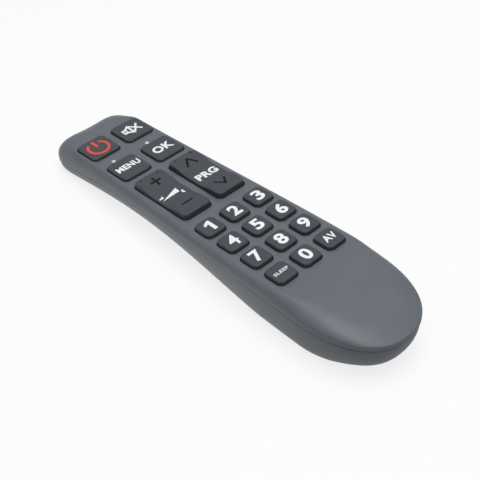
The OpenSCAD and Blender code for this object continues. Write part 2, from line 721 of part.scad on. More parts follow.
module driver_transistor() under_board(big_x, power_y - 1.5) {
    color(chip_colour) translate([0, 0, -5]) intersection() {
        cylinder(d = 4.6, h = 4.2);
        block([-3, -1.3, 0], [3, 3, 4.2]);
    }
    color(metal_colour) for (x = [-1.27, 0, 1.27]) translate([x, 0, -1]) cylinder(d = 0.5, h = 1);
}

module chip_resistors() color(chip_colour) {
    for (x = [-resistor_x, resistor_x], y = [0, resistor_pitch]) under_board(x, y)
        translate([0, 0, -0.3]) cube([2, 1.25, 0.6], center = true);
}

// Pan head screw pointing up, its head under z = 0
module screw(d, l, head_d) {
    difference() {
        union() {
            translate([0, 0, -screw_head_h]) cylinder(d = head_d, h = screw_head_h);
            translate([0, 0, -screw_head_h / 2]) cylinder(d = d, h = l + screw_head_h / 2);
        }
        for (a = [0, 90]) rotate(a) translate([0, 0, -screw_head_h])
            cube([0.6 * head_d, head_d / 7, screw_head_h], center = true);
    }
}

module board_screws() color(metal_colour) {
    for (p = POSTS) under_board(p.x, p.y) screw(screw_d, screw_l, screw_head_d);
}

module case_screw() color(metal_colour) {
    translate([0, screw_y, shelf_z]) screw(case_screw_d, case_screw_l, case_screw_head);
}

// Coil spring standing on z = 0, swept as one round wire
ring_steps = 16;
function wire_ring(i) = let (a = 360 * i / ring_steps, r = (spring_d - wire_d) / 2,
        rise = (spring_l - wire_d / 2 - fit) * i / (ring_steps * spring_turns))
    [for (b = [0:-45:-315]) let (w = r + wire_d / 2 * cos(b))
        [w * cos(a), w * sin(a), rise + wire_d / 2 * sin(b)]];
module spring() {
    loft([for (i = [0:ring_steps * spring_turns]) wire_ring(i)]);
}

// Contact in the bay: s is 1 at the tail end, where it faces the head, and -1 at the head end
module contact_plate(x0, x1, s) {
    y = s > 0 ? tail_plate_y : head_plate_y;
    block([x0, min(y, y - s * plate_t), plate_low], [x1, max(y, y - s * plate_t), plate_high]);
}
module contact_spring(x, s) {
    translate([x, s > 0 ? tail_plate_y : head_plate_y, cell_z]) rotate([-90 * s, 0, 0]) spring();
}
module contact_stud(x, s) {
    translate([x, s > 0 ? tail_plate_y : head_plate_y, cell_z]) rotate([-90 * s, 0, 0])
        cylinder(d = cell_button_d - 2 * clear, h = spring_l - fit);
}
module solder_tab(x) {
    under = on_table([0, head_plate_y, board_bottom]).z - fit;
    block([x - 1, head_plate_y, plate_high - 1], [x + 1, head_plate_y + plate_t, under]);
}

module contact_bridge() color(metal_colour) {
    contact_plate(-bay_half + clear, bay_half - clear, 1);
    contact_spring(-cell_x, 1);
    contact_stud(cell_x, 1);
}

module contact_positive() color(metal_colour) {
    contact_plate(-bay_half + clear, -1, -1);
    contact_stud(-cell_x, -1);
    solder_tab(-cell_x);
}

module contact_negative() color(metal_colour) {
    contact_plate(1, bay_half - clear, -1);
    contact_spring(cell_x, -1);
    solder_tab(cell_x);
}

// Cell standing on its flat end at z = 0
module cell() {
    roll = 0.4;
    translate([0, 0, roll]) cylinder(d = cell_d, h = cell_l - 2 * roll);
    cylinder(d = cell_d - 2 * roll, h = cell_l);
    cylinder(d = cell_button_d, h = cell_l + cell_button_h);
}

module battery_left() color(cell_colour) {
    translate([-cell_x, bay_tail, cell_z]) rotate([-90, 0, 0]) cell();
}

module battery_right() color(cell_colour) {
    translate([cell_x, bay_head, cell_z]) rotate([90, 0, 0]) cell();
}

upper_case();
lower_case();
battery_door();
key_mat();
circuit_board();
for (k = PUSH_KEYS) push_key(k);
for (k = ROCKERS) rocker(k);
for (i = [0, 1]) indicator_lens(LENS_X[i]);
for (i = [0, 1]) indicator_led(LENS_X[i]);
infrared_emitter();
controller_chip();
resonator();
capacitor();
driver_transistor();
chip_resistors();
board_screws();
case_screw();
contact_bridge();
contact_positive();
contact_negative();
battery_left();
battery_right();
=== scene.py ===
# %% [markdown]
# # A universal remote control
# The remote lies on a pale table: a slim case of two moulded shells with a narrow waist and a
# wide palm end, eighteen keys and rockers standing out of its flat deck, and a sliding battery
# door underneath. The solids of the real construction are loaded first and never moved. Each
# visible piece is then dressed: either its solid gets a better material, or a finer mesh made
# here from the same sizes takes its place.

import math

import bmesh
import bpy
import numpy as np
from mathutils import Matrix, Vector


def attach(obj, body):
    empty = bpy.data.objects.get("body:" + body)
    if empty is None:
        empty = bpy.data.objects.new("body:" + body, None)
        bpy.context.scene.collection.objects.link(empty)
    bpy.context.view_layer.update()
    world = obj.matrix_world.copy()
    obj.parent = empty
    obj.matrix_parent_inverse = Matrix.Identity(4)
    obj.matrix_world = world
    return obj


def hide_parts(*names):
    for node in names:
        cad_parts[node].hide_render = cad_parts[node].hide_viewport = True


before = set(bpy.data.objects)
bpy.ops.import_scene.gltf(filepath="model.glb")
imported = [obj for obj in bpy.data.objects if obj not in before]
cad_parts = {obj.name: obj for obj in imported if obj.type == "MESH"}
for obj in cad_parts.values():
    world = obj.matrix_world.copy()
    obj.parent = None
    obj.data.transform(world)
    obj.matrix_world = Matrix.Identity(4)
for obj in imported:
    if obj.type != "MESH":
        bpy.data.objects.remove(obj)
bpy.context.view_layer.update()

# %% [markdown]
# ## Sizes
# All sizes are millimetres here, and become metres only when a mesh is made. They repeat the
# driving sizes of the construction, so a fine mesh lies where its solid lies. Two heights are
# a little less than the solids', which leaves room for the printed signs: the crown of the keys
# by 0.06 mm, and the raised ends of the rockers by 0.05 mm. Those ends also rise between two
# knees here, as in the photograph, and not in one even curve.

# %% Sizes of the case
CASE_LEN, PALM_W, HEAD_W, DECK_H, DECK_TILT, WALL = 184.5, 44.6, 38.6, 19.2, 2.6, 1.6
TAIL_ROUND, TAIL_POWER, HEAD_ROUND, HEAD_POWER = 33, 2.3, 20.5, 5
SEAM_WAIST, SEAM_HEAD, SEAM_TAIL, WAIST_Y = 4.3, 11.1, 8.6, 8
BAND_WAIST, BAND_HEAD, BAND_TAIL = 1.0, 2.6, 1.6
ARCH_H, ARCH_HEAD, ARCH_POWER = 5.6, 10, 1.3
CROWN_DROP, CROWN_LEN = 6.2, 41.5
SHOULDER_W, SHOULDER_SMALL_W, SHOULDER_HEAD_W, SHOULDER_TAIL_W = 2.8, 3.4, 13.5, 9
BELLY_W, BELLY_TAIL_W, BELLY_HEAD_W = 4.2, 11.5, 3.5
SEAM_GAP, SEAM_STEP, LIP_H, CLEAR, FIT = 0.35, 0.3, 1.1, 0.3, 0.04
HALF_LEN = CASE_LEN / 2
CENTRE_Y = -0.387854

# %% Sizes of the keys
KEY_W, KEY_CORNER, PITCH_X, PITCH_Y = 9.5, 2.2, 12.7, 12.55
BIG_W, BIG_L, BIG_CORNER, ROCKER_L = 14.25, 13.95, 2.2, 32.1
HEAD_MARGIN, BIG_PITCH_X, BIG_PITCH_Y, ROW_GAP, DIGIT_GAP = 23.9, 18.1, 20.9, 4.7, 5.7
POWER_Y = HALF_LEN - HEAD_MARGIN
MENU_Y = POWER_Y - BIG_PITCH_Y
ROCKER_Y = MENU_Y - BIG_L / 2 - ROW_GAP - ROCKER_L / 2
DIGIT_Y = ROCKER_Y - ROCKER_L / 2 - DIGIT_GAP - KEY_W / 2
LAST_ROW_Y = DIGIT_Y - 3 * PITCH_Y
BIG_X = BIG_PITCH_X / 2
KEY_RISE, BIG_RISE, SADDLE_RISE = 1.4, 1.0, 1.25
KEY_EDGE, KEY_DRAFT, KEY_CROWN = 0.5, 0.1, 0.19
KEY_GAP, ROCKER_GAP, EAR_REACH, EAR_PART, EAR_T, ROCKER_EAR = 0.3, 0.2, 0.5, 0.6, 0.8, 4
KNEE_START, KNEE_END = 3.5, 11.5
PILL_D, ROCKER_PILL, PIVOT_R = 4.4, 11, 1
EAR_TOP = -WALL - CLEAR
CAP_FOOT = EAR_TOP - EAR_T
MAT_T, BOARD_T = 0.6, 1
BOARD_TOP = CAP_FOOT - PIVOT_R - CLEAR - MAT_T
BOARD_FOOT = BOARD_TOP - BOARD_T
LENS_D, LENS_RISE, LENS_Y = 1.8, 0.4, MENU_Y + BIG_L / 2 + 1.7
LENS_X = {"left": -BIG_X - 1.4, "right": BIG_X - 1.4}
EMITTER_D, EMITTER_TIP, EMITTER_L, EMITTER_Z = 5, 0.9, 8.6, 6.5


def small_key(column, row):
    """A small key: x, y, width, length, corner radius, height of its edge."""
    return ((column - 1) * PITCH_X, DIGIT_Y - row * PITCH_Y, KEY_W, KEY_W, KEY_CORNER, KEY_RISE)


def large_key(side, y):
    """A large square key, which stands out less."""
    return (side * BIG_X, y, BIG_W, BIG_L, BIG_CORNER, BIG_RISE)


KEYS = {
    "key_power": large_key(-1, POWER_Y), "key_mute": large_key(1, POWER_Y),
    "key_menu": large_key(-1, MENU_Y), "key_ok": large_key(1, MENU_Y),
    "key_sleep": small_key(0, 3), "key_0": small_key(1, 3), "key_av": small_key(2, 3)}
for digit in range(1, 10):
    KEYS[f"key_{digit}"] = small_key((digit - 1) % 3, (digit - 1) // 3)
ROCKERS = {
    "rocker_volume": (-BIG_X, ROCKER_Y, BIG_W, ROCKER_L, BIG_CORNER, BIG_RISE),
    "rocker_program": (BIG_X, ROCKER_Y, BIG_W, ROCKER_L, BIG_CORNER, BIG_RISE)}
print("keys:", len(KEYS), "rockers:", len(ROCKERS))

# %% [markdown]
# ## From the deck to the table
# The keys are laid out on the flat deck, which slopes down a little towards the head when the
# remote lies on its palm end. One function stands deck points on the table, and every piece
# that belongs to the deck goes through it. Its matrix does the same to whole meshes.

# %% Deck to table
TILT = math.radians(DECK_TILT)


def on_table(points):
    """Deck points in millimetres as points of the part's frame in metres."""
    p = np.asarray(points, float)
    y = p[..., 1] * math.cos(TILT) + p[..., 2] * math.sin(TILT) - CENTRE_Y
    z = -p[..., 1] * math.sin(TILT) + (p[..., 2] + DECK_H) * math.cos(TILT)
    return np.stack([p[..., 0], y, z], -1) / 1000


SEAT = Matrix.Translation(Vector(on_table([0, 0, 0]))) @ Matrix.Rotation(-TILT, 4, "X")
print("deck origin on the table:", [round(v, 5) for v in SEAT.translation])

# %% [markdown]
# ## Camera
# The camera stands over the tail's left side and looks along the remote. Its place was
# worked out from the rows of keys in the photograph, with a lens of 70.8 mm on a 36 mm sensor.

# %% Camera
azimuth, elevation, roll = (math.radians(a) for a in (-40.6383, 40.4618, -4.6526))
LOOK_AT, DISTANCE = Vector((-9.6554, -19.8985, 0)), 352.206
back = Vector((math.sin(azimuth) * math.cos(elevation),
               -math.cos(azimuth) * math.cos(elevation), math.sin(elevation)))
level = Vector((math.cos(azimuth), math.sin(azimuth), 0))
upright = back.cross(level)
right = math.cos(roll) * level + math.sin(roll) * upright
up = math.cos(roll) * upright - math.sin(roll) * level
lens_data = bpy.data.cameras.new("camera")
lens_data.lens, lens_data.sensor_width, lens_data.clip_start = 70.8, 36, 0.01
camera = bpy.data.objects.new("camera", lens_data)
turn = Matrix((right, up, back)).transposed().to_4x4()
camera.matrix_world = (Matrix.Translation(Vector(on_table(LOOK_AT + back * DISTANCE)))
                       @ Matrix.Rotation(-TILT, 4, "X") @ turn)
bpy.context.scene.collection.objects.link(camera)
bpy.context.scene.camera = camera
print("camera at", [round(v, 4) for v in camera.matrix_world.translation])

# %% [markdown]
# ## Node trees
# Materials and shapes are both made of nodes, and both need many small sums. This helper adds a
# node, sets its plain inputs and links the rest, so that a tree reads like a list of steps.

# %% Helper for node trees


class Steps:
    """Adds nodes to one tree: inputs are given by name or number, as a socket or a value."""

    def __init__(self, tree):
        self.tree = tree

    def add(self, kind, inputs=None, **settings):
        node = self.tree.nodes.new(kind)
        for name, value in settings.items():
            setattr(node, name, value)
        for key, value in (inputs or {}).items():
            if isinstance(value, bpy.types.NodeSocket):
                self.tree.links.new(value, node.inputs[key])
            else:
                node.inputs[key].default_value = value
        return node

    def sum(self, operation, *values):
        """One step of arithmetic, and its result as a socket."""
        return self.add("ShaderNodeMath", dict(enumerate(values)), operation=operation).outputs[0]

    def range(self, value, low, high, to_low, to_high, smooth=False):
        """Value moved from one range to another, with both ends held."""
        kind = "SMOOTHSTEP" if smooth else "LINEAR"
        return self.add("ShaderNodeMapRange", {0: value, 1: low, 2: high, 3: to_low, 4: to_high},
                        interpolation_type=kind).outputs[0]


def start_group(name, kind, inputs, outputs):
    """A new node group with named inputs (name, socket type, default) and outputs (name, type)."""
    tree = bpy.data.node_groups.new(name, kind)
    for label, socket, value in inputs:
        made = tree.interface.new_socket(label, in_out="INPUT", socket_type="NodeSocket" + socket)
        if value is not None:
            made.default_value = value
    for label, socket in outputs:
        tree.interface.new_socket(label, in_out="OUTPUT", socket_type="NodeSocket" + socket)
    steps = Steps(tree)
    source = tree.nodes.new("NodeGroupInput")
    return tree, steps, source.outputs


# %% [markdown]
# ## Light
# The photograph is a plain catalogue picture on a white table: one wide soft light above the
# near end, a bright table, and little light from the sides. So the tops are pale, the upright
# band above the seam is dark, and the belly picks up the table again. The world repeats that:
# it is white where the camera sees it, also through glass. For all other light it fades from a
# pale zenith to a dim horizon, so upright faces stay dark, and gloss mirrors the same fall.
# One large area lamp overhead shapes the case.

# %% Light
scene = bpy.context.scene
scene.view_settings.view_transform = "Standard"
world = bpy.data.worlds.new("surround")
scene.world = world
world.use_nodes = True
world.node_tree.nodes.clear()
steps = Steps(world.node_tree)
rays = steps.add("ShaderNodeLightPath").outputs
toward = steps.add("ShaderNodeTexCoord").outputs["Generated"]
direction = steps.add("ShaderNodeSeparateXYZ", {0: toward})
mirrored = steps.sum("MULTIPLY", rays["Is Glossy Ray"],
                     steps.range(direction.outputs["Z"], 0.0, 0.5, 0.15, 1.0, smooth=True))
white_rays = steps.sum("MAXIMUM", steps.sum("MAXIMUM", rays["Is Camera Ray"], mirrored),
                       rays["Is Transmission Ray"])
sky_level = steps.range(direction.outputs["Z"], 0.2, 0.95, 0.02, 0.6, smooth=True)
sky = steps.add("ShaderNodeBackground", {"Color": (0.97, 0.98, 1, 1), "Strength": sky_level})
white = steps.add("ShaderNodeBackground", {"Color": (1, 1, 1, 1), "Strength": 1.0})
pick = steps.add("ShaderNodeMixShader", {0: white_rays, 1: sky.outputs[0], 2: white.outputs[0]})
steps.add("ShaderNodeOutputWorld", {"Surface": pick.outputs[0]})


def area_lamp(name, place, size, power):
    """A square area lamp that faces the middle of the remote."""
    data = bpy.data.lights.new(name, "AREA")
    data.energy, data.size = power, size
    lamp = bpy.data.objects.new(name, data)
    lamp.location = place
    lamp.rotation_euler = (-Vector(place)).to_track_quat("-Z", "Y").to_euler()
    scene.collection.objects.link(lamp)
    return lamp


area_lamp("lamp_top", (0.02, -0.08, 0.9), 0.6, 5.6)

# %% [markdown]
# ## Shared effects of the finishes
# Moulded plastic gets its look from the mould: a fine grain eroded into the steel, which breaks
# up the gloss and shows as tiny bumps. Handling then leaves faint patches of colour and a little dust.
# Each effect is a node group with its own numbers in each material. Both read the Object
# coordinates, which are metres, so one grain of 0.4 mm needs a noise scale of 2500.

# %% Group: moulded grain
grain, steps, given = start_group(
    "moulded_grain", "ShaderNodeTree",
    [("Grain Scale", "Float", 2500.0), ("Gloss Low", "Float", 0.5), ("Gloss High", "Float", 0.6)],
    [("Height", "Float"), ("Roughness", "Float")])
place = steps.add("ShaderNodeTexCoord").outputs["Object"]
fine = steps.add("ShaderNodeTexNoise", {"Vector": place, "Scale": given["Grain Scale"],
                                        "Detail": 3.0, "Roughness": 0.6}).outputs["Fac"]
pits = steps.add("ShaderNodeTexVoronoi", {"Vector": place, "Scale": given["Grain Scale"]},
                 feature="SMOOTH_F1").outputs["Distance"]
height = steps.sum("ADD", steps.sum("MULTIPLY", fine, 0.7), steps.sum("MULTIPLY", pits, 0.3))
gloss = steps.range(fine, 0.3, 0.7, given["Gloss Low"], given["Gloss High"])
steps.add("NodeGroupOutput", {"Height": height, "Roughness": gloss})

# %% Group: handling
handling, steps, given = start_group(
    "handling", "ShaderNodeTree",
    [("Colour", "Color", (0.1, 0.1, 0.1, 1)), ("Worn Colour", "Color", (0.12, 0.12, 0.12, 1)),
     ("Patch Scale", "Float", 60.0), ("Amount", "Float", 0.5)],
    [("Colour", "Color"), ("Mask", "Float")])
place = steps.add("ShaderNodeTexCoord").outputs["Object"]
patches = steps.add("ShaderNodeTexNoise", {"Vector": place, "Scale": given["Patch Scale"],
                                           "Detail": 5.0, "Roughness": 0.65}).outputs["Fac"]
specks = steps.add("ShaderNodeTexNoise", {"Vector": place, "Scale": 1700.0,
                                          "Detail": 2.0}).outputs["Fac"]
mask = steps.sum("MULTIPLY", steps.range(patches, 0.42, 0.68, 0.0, 1.0),
                 steps.range(specks, 0.35, 0.75, 0.4, 1.0))
mask = steps.sum("MULTIPLY", mask, given["Amount"])
tint = steps.add("ShaderNodeMix", {0: mask, 6: given["Colour"], 7: given["Worn Colour"]},
                 data_type="RGBA").outputs[2]
steps.add("NodeGroupOutput", {"Colour": tint, "Mask": mask})
print("groups:", [g.name for g in bpy.data.node_groups])

# %% [markdown]
# ## Materials
# Every moulded piece uses the same recipe: a Principled shader whose colour comes from the
# handling group and whose roughness and bump come from the grain group. Only the numbers differ:
# the case is a mid grey with a coarse matt grain, the keys a darker slate with a finer one.

# %% Moulded plastics


def moulded(name, colour, worn, gloss, grain_scale, bump, patches=60.0, amount=0.5, **plain_sockets):
    """A moulded material: colours are linear, gloss is the lowest and highest roughness."""
    material = bpy.data.materials.new(name)
    material.use_nodes = True
    tree = material.node_tree
    tree.nodes.clear()
    steps = Steps(tree)
    skin = steps.add("ShaderNodeGroup", node_tree=bpy.data.node_groups["moulded_grain"])
    skin.inputs["Grain Scale"].default_value = grain_scale
    skin.inputs["Gloss Low"].default_value, skin.inputs["Gloss High"].default_value = gloss
    hands = steps.add("ShaderNodeGroup", node_tree=bpy.data.node_groups["handling"])
    hands.inputs["Colour"].default_value = (*colour, 1)
    hands.inputs["Worn Colour"].default_value = (*worn, 1)
    hands.inputs["Patch Scale"].default_value = patches
    hands.inputs["Amount"].default_value = amount
    relief = steps.add("ShaderNodeBump", {"Strength": bump, "Distance": 0.00006,
                                          "Height": skin.outputs["Height"]})
    shader = steps.add("ShaderNodeBsdfPrincipled", {
        "Base Color": hands.outputs["Colour"], "Roughness": skin.outputs["Roughness"],
        "Normal": relief.outputs["Normal"], **plain_sockets})
    steps.add("ShaderNodeOutputMaterial", {"Surface": shader.outputs[0]})
    return material


case_plastic = moulded("case_plastic", (0.105, 0.119, 0.137), (0.128, 0.142, 0.16), (0.38, 0.5),
                       2600.0, 0.35, **{"Specular IOR Level": 0.4})
key_plastic = moulded("key_plastic", (0.052, 0.058, 0.069), (0.066, 0.073, 0.084), (0.45, 0.55),
                      3600.0, 0.25, amount=0.4, **{"Specular IOR Level": 0.25})
mat_rubber = moulded("mat_rubber", (0.03, 0.03, 0.033), (0.06, 0.06, 0.06), (0.7, 0.85), 3000.0, 0.3)
chip_plastic = moulded("chip_plastic", (0.015, 0.015, 0.017), (0.03, 0.03, 0.032), (0.45, 0.6),
                       5000.0, 0.3)
white_print = moulded("white_print", (0.86, 0.87, 0.88), (0.7, 0.71, 0.73), (0.45, 0.6), 5000.0,
                      0.15, patches=900.0, amount=0.25)
red_print = moulded("red_print", (0.76, 0.06, 0.035), (0.6, 0.05, 0.03), (0.4, 0.55), 5000.0,
                    0.15, patches=900.0, amount=0.3)
# near-black ink: painted shade of the engraved grooves of the rockers' plus, minus and arrows; the
# rockers' dots use it too
dark_print = moulded("dark_print", (0.006, 0.007, 0.009), (0.01, 0.011, 0.013), (0.6, 0.7), 5000.0,
                     0.15, patches=900.0, amount=0.3, **{"Specular IOR Level": 0.1})
print("moulded materials:", len(bpy.data.materials))

# %% [markdown]
# ## Meshes from rings
# The case is one smooth form: its outline is carried upwards in rings that shrink towards a
# middle line, the spine. A ring is a closed row of points, and neighbouring rings are joined by
# four-sided faces. Both end rings are closed by strips from the right side to the left.

# %% Helpers for meshes


def finished(name, mesh, material, body, crease=35):
    """An object at the origin, smooth up to a crease angle in degrees, riding on a CAD body."""
    mesh.name = name
    mesh.materials.clear()
    mesh.materials.append(material)
    mesh.shade_smooth()
    mesh.set_sharp_from_angle(angle=math.radians(crease))
    piece = bpy.data.objects.new(name, mesh)
    scene.collection.objects.link(piece)
    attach(piece, body)
    return piece


def signed_volume(points, faces):
    """Volume inside closed faces, negative if they face inwards."""
    return sum(float(np.dot(points[f[0]], np.cross(points[f[i]], points[f[i + 1]])))
               for f in faces for i in range(1, len(f) - 1)) / 6


def solid(points, faces, name="solid"):
    """A closed mesh whose faces all point outwards."""
    points = np.asarray(points, float)
    if signed_volume(points, faces) < 0:
        faces = [f[::-1] for f in faces]
    mesh = bpy.data.meshes.new(name)
    mesh.from_pydata([tuple(p) for p in points], [], faces)
    mesh.update()
    return mesh


def ring_solid(rings, stand=on_table, name="rings"):
    """A closed mesh through rings of deck points that are even about the middle."""
    count = len(rings[0])
    half, top = count // 2, (len(rings) - 1) * count
    faces = [(k * count + i, k * count + (i + 1) % count, (k + 1) * count + (i + 1) % count,
              (k + 1) * count + i) for k in range(len(rings) - 1) for i in range(count)]
    for i in range(half):
        strip = [i, i + 1, count - i - 1, (count - i) % count]
        strip = [v for j, v in enumerate(strip) if v not in strip[:j]]
        faces += [tuple(strip[::-1]), tuple(top + v for v in strip)]
    return solid(stand(np.concatenate(rings)), faces, name)


def joined(meshes, name="joined"):
    """Several meshes as one."""
    points, faces, offset = [], [], 0
    for mesh in meshes:
        points += [tuple(v.co) for v in mesh.vertices]
        faces += [tuple(v + offset for v in p.vertices) for p in mesh.polygons]
        offset += len(mesh.vertices)
        bpy.data.meshes.remove(mesh)
    result = bpy.data.meshes.new(name)
    result.from_pydata(points, [], faces)
    result.update()
    return result


def combined(mesh, tool, operation, overlapping=False):
    """The first mesh with the tool added, cut away or kept, by one Boolean modifier."""
    target = bpy.data.objects.new("target", mesh)
    cutter = bpy.data.objects.new("cutter", tool)
    for o in (target, cutter):
        scene.collection.objects.link(o)
    modifier = target.modifiers.new("combine", "BOOLEAN")
    modifier.operation, modifier.object, modifier.solver = operation, cutter, "EXACT"
    modifier.use_self = overlapping
    bpy.context.view_layer.update()
    result = bpy.data.meshes.new_from_object(
        target.evaluated_get(bpy.context.evaluated_depsgraph_get()))
    for o in (target, cutter):
        bpy.data.objects.remove(o)
    bpy.data.meshes.remove(mesh)
    bpy.data.meshes.remove(tool)
    return result


# %% Small solids


def as_metres(points):
    """Points of the part's own frame, millimetres to metres."""
    return np.asarray(points, float) / 1000


def block(low, high, stand=as_metres):
    """A box between two corners, in millimetres of the part's frame or of the deck."""
    points = [(x, y, z) for x in (low[0], high[0]) for y in (low[1], high[1])
              for z in (low[2], high[2])]
    faces = [(0, 1, 3, 2), (4, 6, 7, 5), (0, 4, 5, 1), (2, 3, 7, 6), (0, 2, 6, 4), (1, 5, 7, 3)]
    return solid(stand(points), faces, "block")


def turned(profile, place=(0, 0, 0), axis="Z", stand=on_table, segments=48, name="turned"):
    """A closed turned piece: profile is (radius, height) from one end of its axis to the other."""
    points, faces = [], []
    for radius, height in profile:
        for i in range(segments):
            a = 2 * math.pi * i / segments
            x, y = radius * math.cos(a), radius * math.sin(a)
            points.append({"Z": (x, y, height), "-Y": (x, -height, y), "Y": (y, height, x)}[axis])
    rows = len(profile)
    for k in range(rows - 1):
        for i in range(segments):
            j = (i + 1) % segments
            faces.append((k * segments + i, k * segments + j,
                          (k + 1) * segments + j, (k + 1) * segments + i))
    faces.append(tuple(range(segments))[::-1])
    faces.append(tuple((rows - 1) * segments + i for i in range(segments)))
    return solid(stand(np.asarray(points) + np.asarray(place, float)), faces, name)


def rounded_loop(w, l, r, steps=8):
    """Points round a rectangle with round corners, even about its middle, from the tail side."""
    right = [(0.0, -l / 2)]
    for corner_y, start in ((-1, -90), (1, 0)):
        for i in range(steps + 1):
            a = math.radians(start + 90 * i / steps)
            right.append((w / 2 - r + r * math.cos(a), corner_y * (l / 2 - r) + r * math.sin(a)))
    right.append((0.0, l / 2))
    return np.array(right + [(-x, y) for x, y in right[-2:0:-1]])


print("helpers ready")

# %% [markdown]
# ## The form of the case
# These are the rules of the construction again, for whole rows of points at once: the outline
# seen from above, the height of the seam, the fall of the top at the tail, the arch of the
# underside, and the widths of the rounded edges. The solids use about 70 points round the case,
# and the pieces here use 240, so that the curves look smooth.

# %% Rules of the form


def held(t):
    """A share kept between 0 and 1."""
    return np.clip(t, 0, 1)


def ease(t):
    """A share from 0 to 1 that starts and ends gently."""
    return t * t * (3 - 2 * t)


def mix(a, b, t):
    """The value a share t of the way from a to b."""
    return a + (b - a) * t


PALM_Y, CORNER_Y = -HALF_LEN + TAIL_ROUND, HALF_LEN - HEAD_ROUND
SPINE_TAIL, SPINE_HEAD = PALM_Y - 12, CORNER_Y + 4
CELL_L, CELL_PLAY = 43.5, 0.9
BAY_TAIL = -HALF_LEN + 18
BAY_HEAD = BAY_TAIL + CELL_L + CELL_PLAY
ARCH_START = BAY_HEAD - 9.4
ARCH_L = HALF_LEN - ARCH_HEAD - ARCH_START


def case_outline(tail_steps=40, side_steps=40, head_steps=40):
    """Outline of the case from above, right side from tail to head and back on the left."""
    a = np.radians(90 * (1 - np.arange(tail_steps) / tail_steps))
    tail = np.stack([PALM_W / 2 * np.cos(a).clip(0) ** (2 / TAIL_POWER),
                     PALM_Y - TAIL_ROUND * np.sin(a) ** (2 / TAIL_POWER)], 1)
    y = mix(PALM_Y, CORNER_Y, np.arange(side_steps) / side_steps)
    side = np.stack([mix(PALM_W, HEAD_W, ease(held((y - PALM_Y) / (CORNER_Y - PALM_Y)))) / 2, y], 1)
    a = np.radians(90 * ease(np.arange(head_steps + 1) / head_steps))
    head = np.stack([HEAD_W / 2 * np.cos(a).clip(0) ** (2 / HEAD_POWER),
                     CORNER_Y + HEAD_ROUND * np.sin(a) ** (2 / HEAD_POWER)], 1)
    right = np.concatenate([tail, side, head])
    right[0, 0] = right[-1, 0] = 0
    return np.concatenate([right, right[-2:0:-1] * [-1, 1]])


OUTLINE = case_outline()
ROW_Y = OUTLINE[:, 1]


def spine(p):
    """The nearest points of the middle line, towards which the rings shrink."""
    return np.stack([0 * p[:, 0], np.clip(p[:, 1], SPINE_TAIL, SPINE_HEAD)], 1)


def inward(d):
    """The outline moved in by a distance, towards the spine."""
    step = spine(OUTLINE) - OUTLINE
    reach = np.linalg.norm(step, axis=1)
    return OUTLINE + step * np.minimum(1, np.broadcast_to(d, reach.shape) / reach)[:, None]


def from_waist(y, at_waist, at_head, at_tail):
    """A value that grows with the square of the distance from the waist."""
    ahead = y > WAIST_Y
    t = np.where(ahead, (y - WAIST_Y) / (HALF_LEN - WAIST_Y), (WAIST_Y - y) / (HALF_LEN + WAIST_Y))
    return mix(at_waist, np.where(ahead, at_head, at_tail), t * t)


def crown_z(y):
    """Height of the top along the case: flat, then falling at the tail."""
    return -CROWN_DROP * held((CROWN_LEN - HALF_LEN - y) / CROWN_LEN) ** 2


def base_z(y):
    """Height of the underside: flat on the table, with an arch between palm and head."""
    arch = ARCH_H * np.sin(np.pi * held((y - ARCH_START) / ARCH_L)).clip(0) ** ARCH_POWER
    return -DECK_H + y * math.tan(TILT) + arch


SEAM_Z = -from_waist(ROW_Y, SEAM_WAIST, SEAM_HEAD, SEAM_TAIL)
BAND_Z = SEAM_Z + from_waist(ROW_Y, BAND_WAIST, BAND_HEAD, BAND_TAIL)
NOSE_Y, PALM_START, PALM_L = HALF_LEN - 18, LAST_ROW_Y - KEY_W / 2, 18
nose = ease(held((ROW_Y - NOSE_Y) / (HALF_LEN - NOSE_Y)))
palm = ease(held((PALM_START - ROW_Y) / PALM_L))
beside = mix(SHOULDER_W, SHOULDER_SMALL_W, ease(held((MENU_Y - ROW_Y) / (MENU_Y - DIGIT_Y))))
SHOULDER = mix(mix(beside, SHOULDER_TAIL_W, palm), SHOULDER_HEAD_W, nose)
BELLY = np.where(ROW_Y < PALM_Y,
                 mix(BELLY_W, BELLY_TAIL_W, ease(held((PALM_Y - ROW_Y) / TAIL_ROUND))),
                 mix(BELLY_W, BELLY_HEAD_W, ease(held((ROW_Y - CORNER_Y) / HEAD_ROUND))))
print("points round the case:", len(OUTLINE))

# %% Rings of the form


def ring(plan, z):
    return np.column_stack([plan, np.broadcast_to(z, len(plan))])


def seam_ring(skin, rise):
    return ring(inward(skin), SEAM_Z + rise)


def shoulder_ring(skin, a):
    plan = inward(mix(skin, SHOULDER, 1 - math.cos(a)))
    foot = np.maximum(BAND_Z - skin / 2, SEAM_Z + LIP_H) if skin else BAND_Z
    return ring(plan, mix(foot, crown_z(plan[:, 1]) - skin, math.sin(a)))


def deck_ring(skin, t):
    plan = mix(inward(SHOULDER), spine(OUTLINE), t)
    return ring(plan, crown_z(plan[:, 1]) - skin)


def belly_ring(skin, a):
    plan = inward(mix(max(skin, SEAM_STEP), BELLY, 1 - math.cos(a)))
    return ring(plan, mix(SEAM_Z - SEAM_GAP, base_z(plan[:, 1]) + skin, math.sin(a)))


def base_ring(skin, t):
    plan = mix(inward(BELLY), spine(OUTLINE), t)
    return ring(plan, base_z(plan[:, 1]) + skin)


def quarter(steps, first=0):
    """Angles from 0 to 90 degrees in radians, with the first few left out."""
    return [math.pi / 2 * i / steps for i in range(first, steps + 1)]


OUTSIDE = (0.02, 0.1, 0.2, 0.3, 0.4, 0.5, 0.6, 0.7, 0.8, 0.9)
INSIDE = (0.02, 0.2, 0.4, 0.6, 0.8, 0.9)


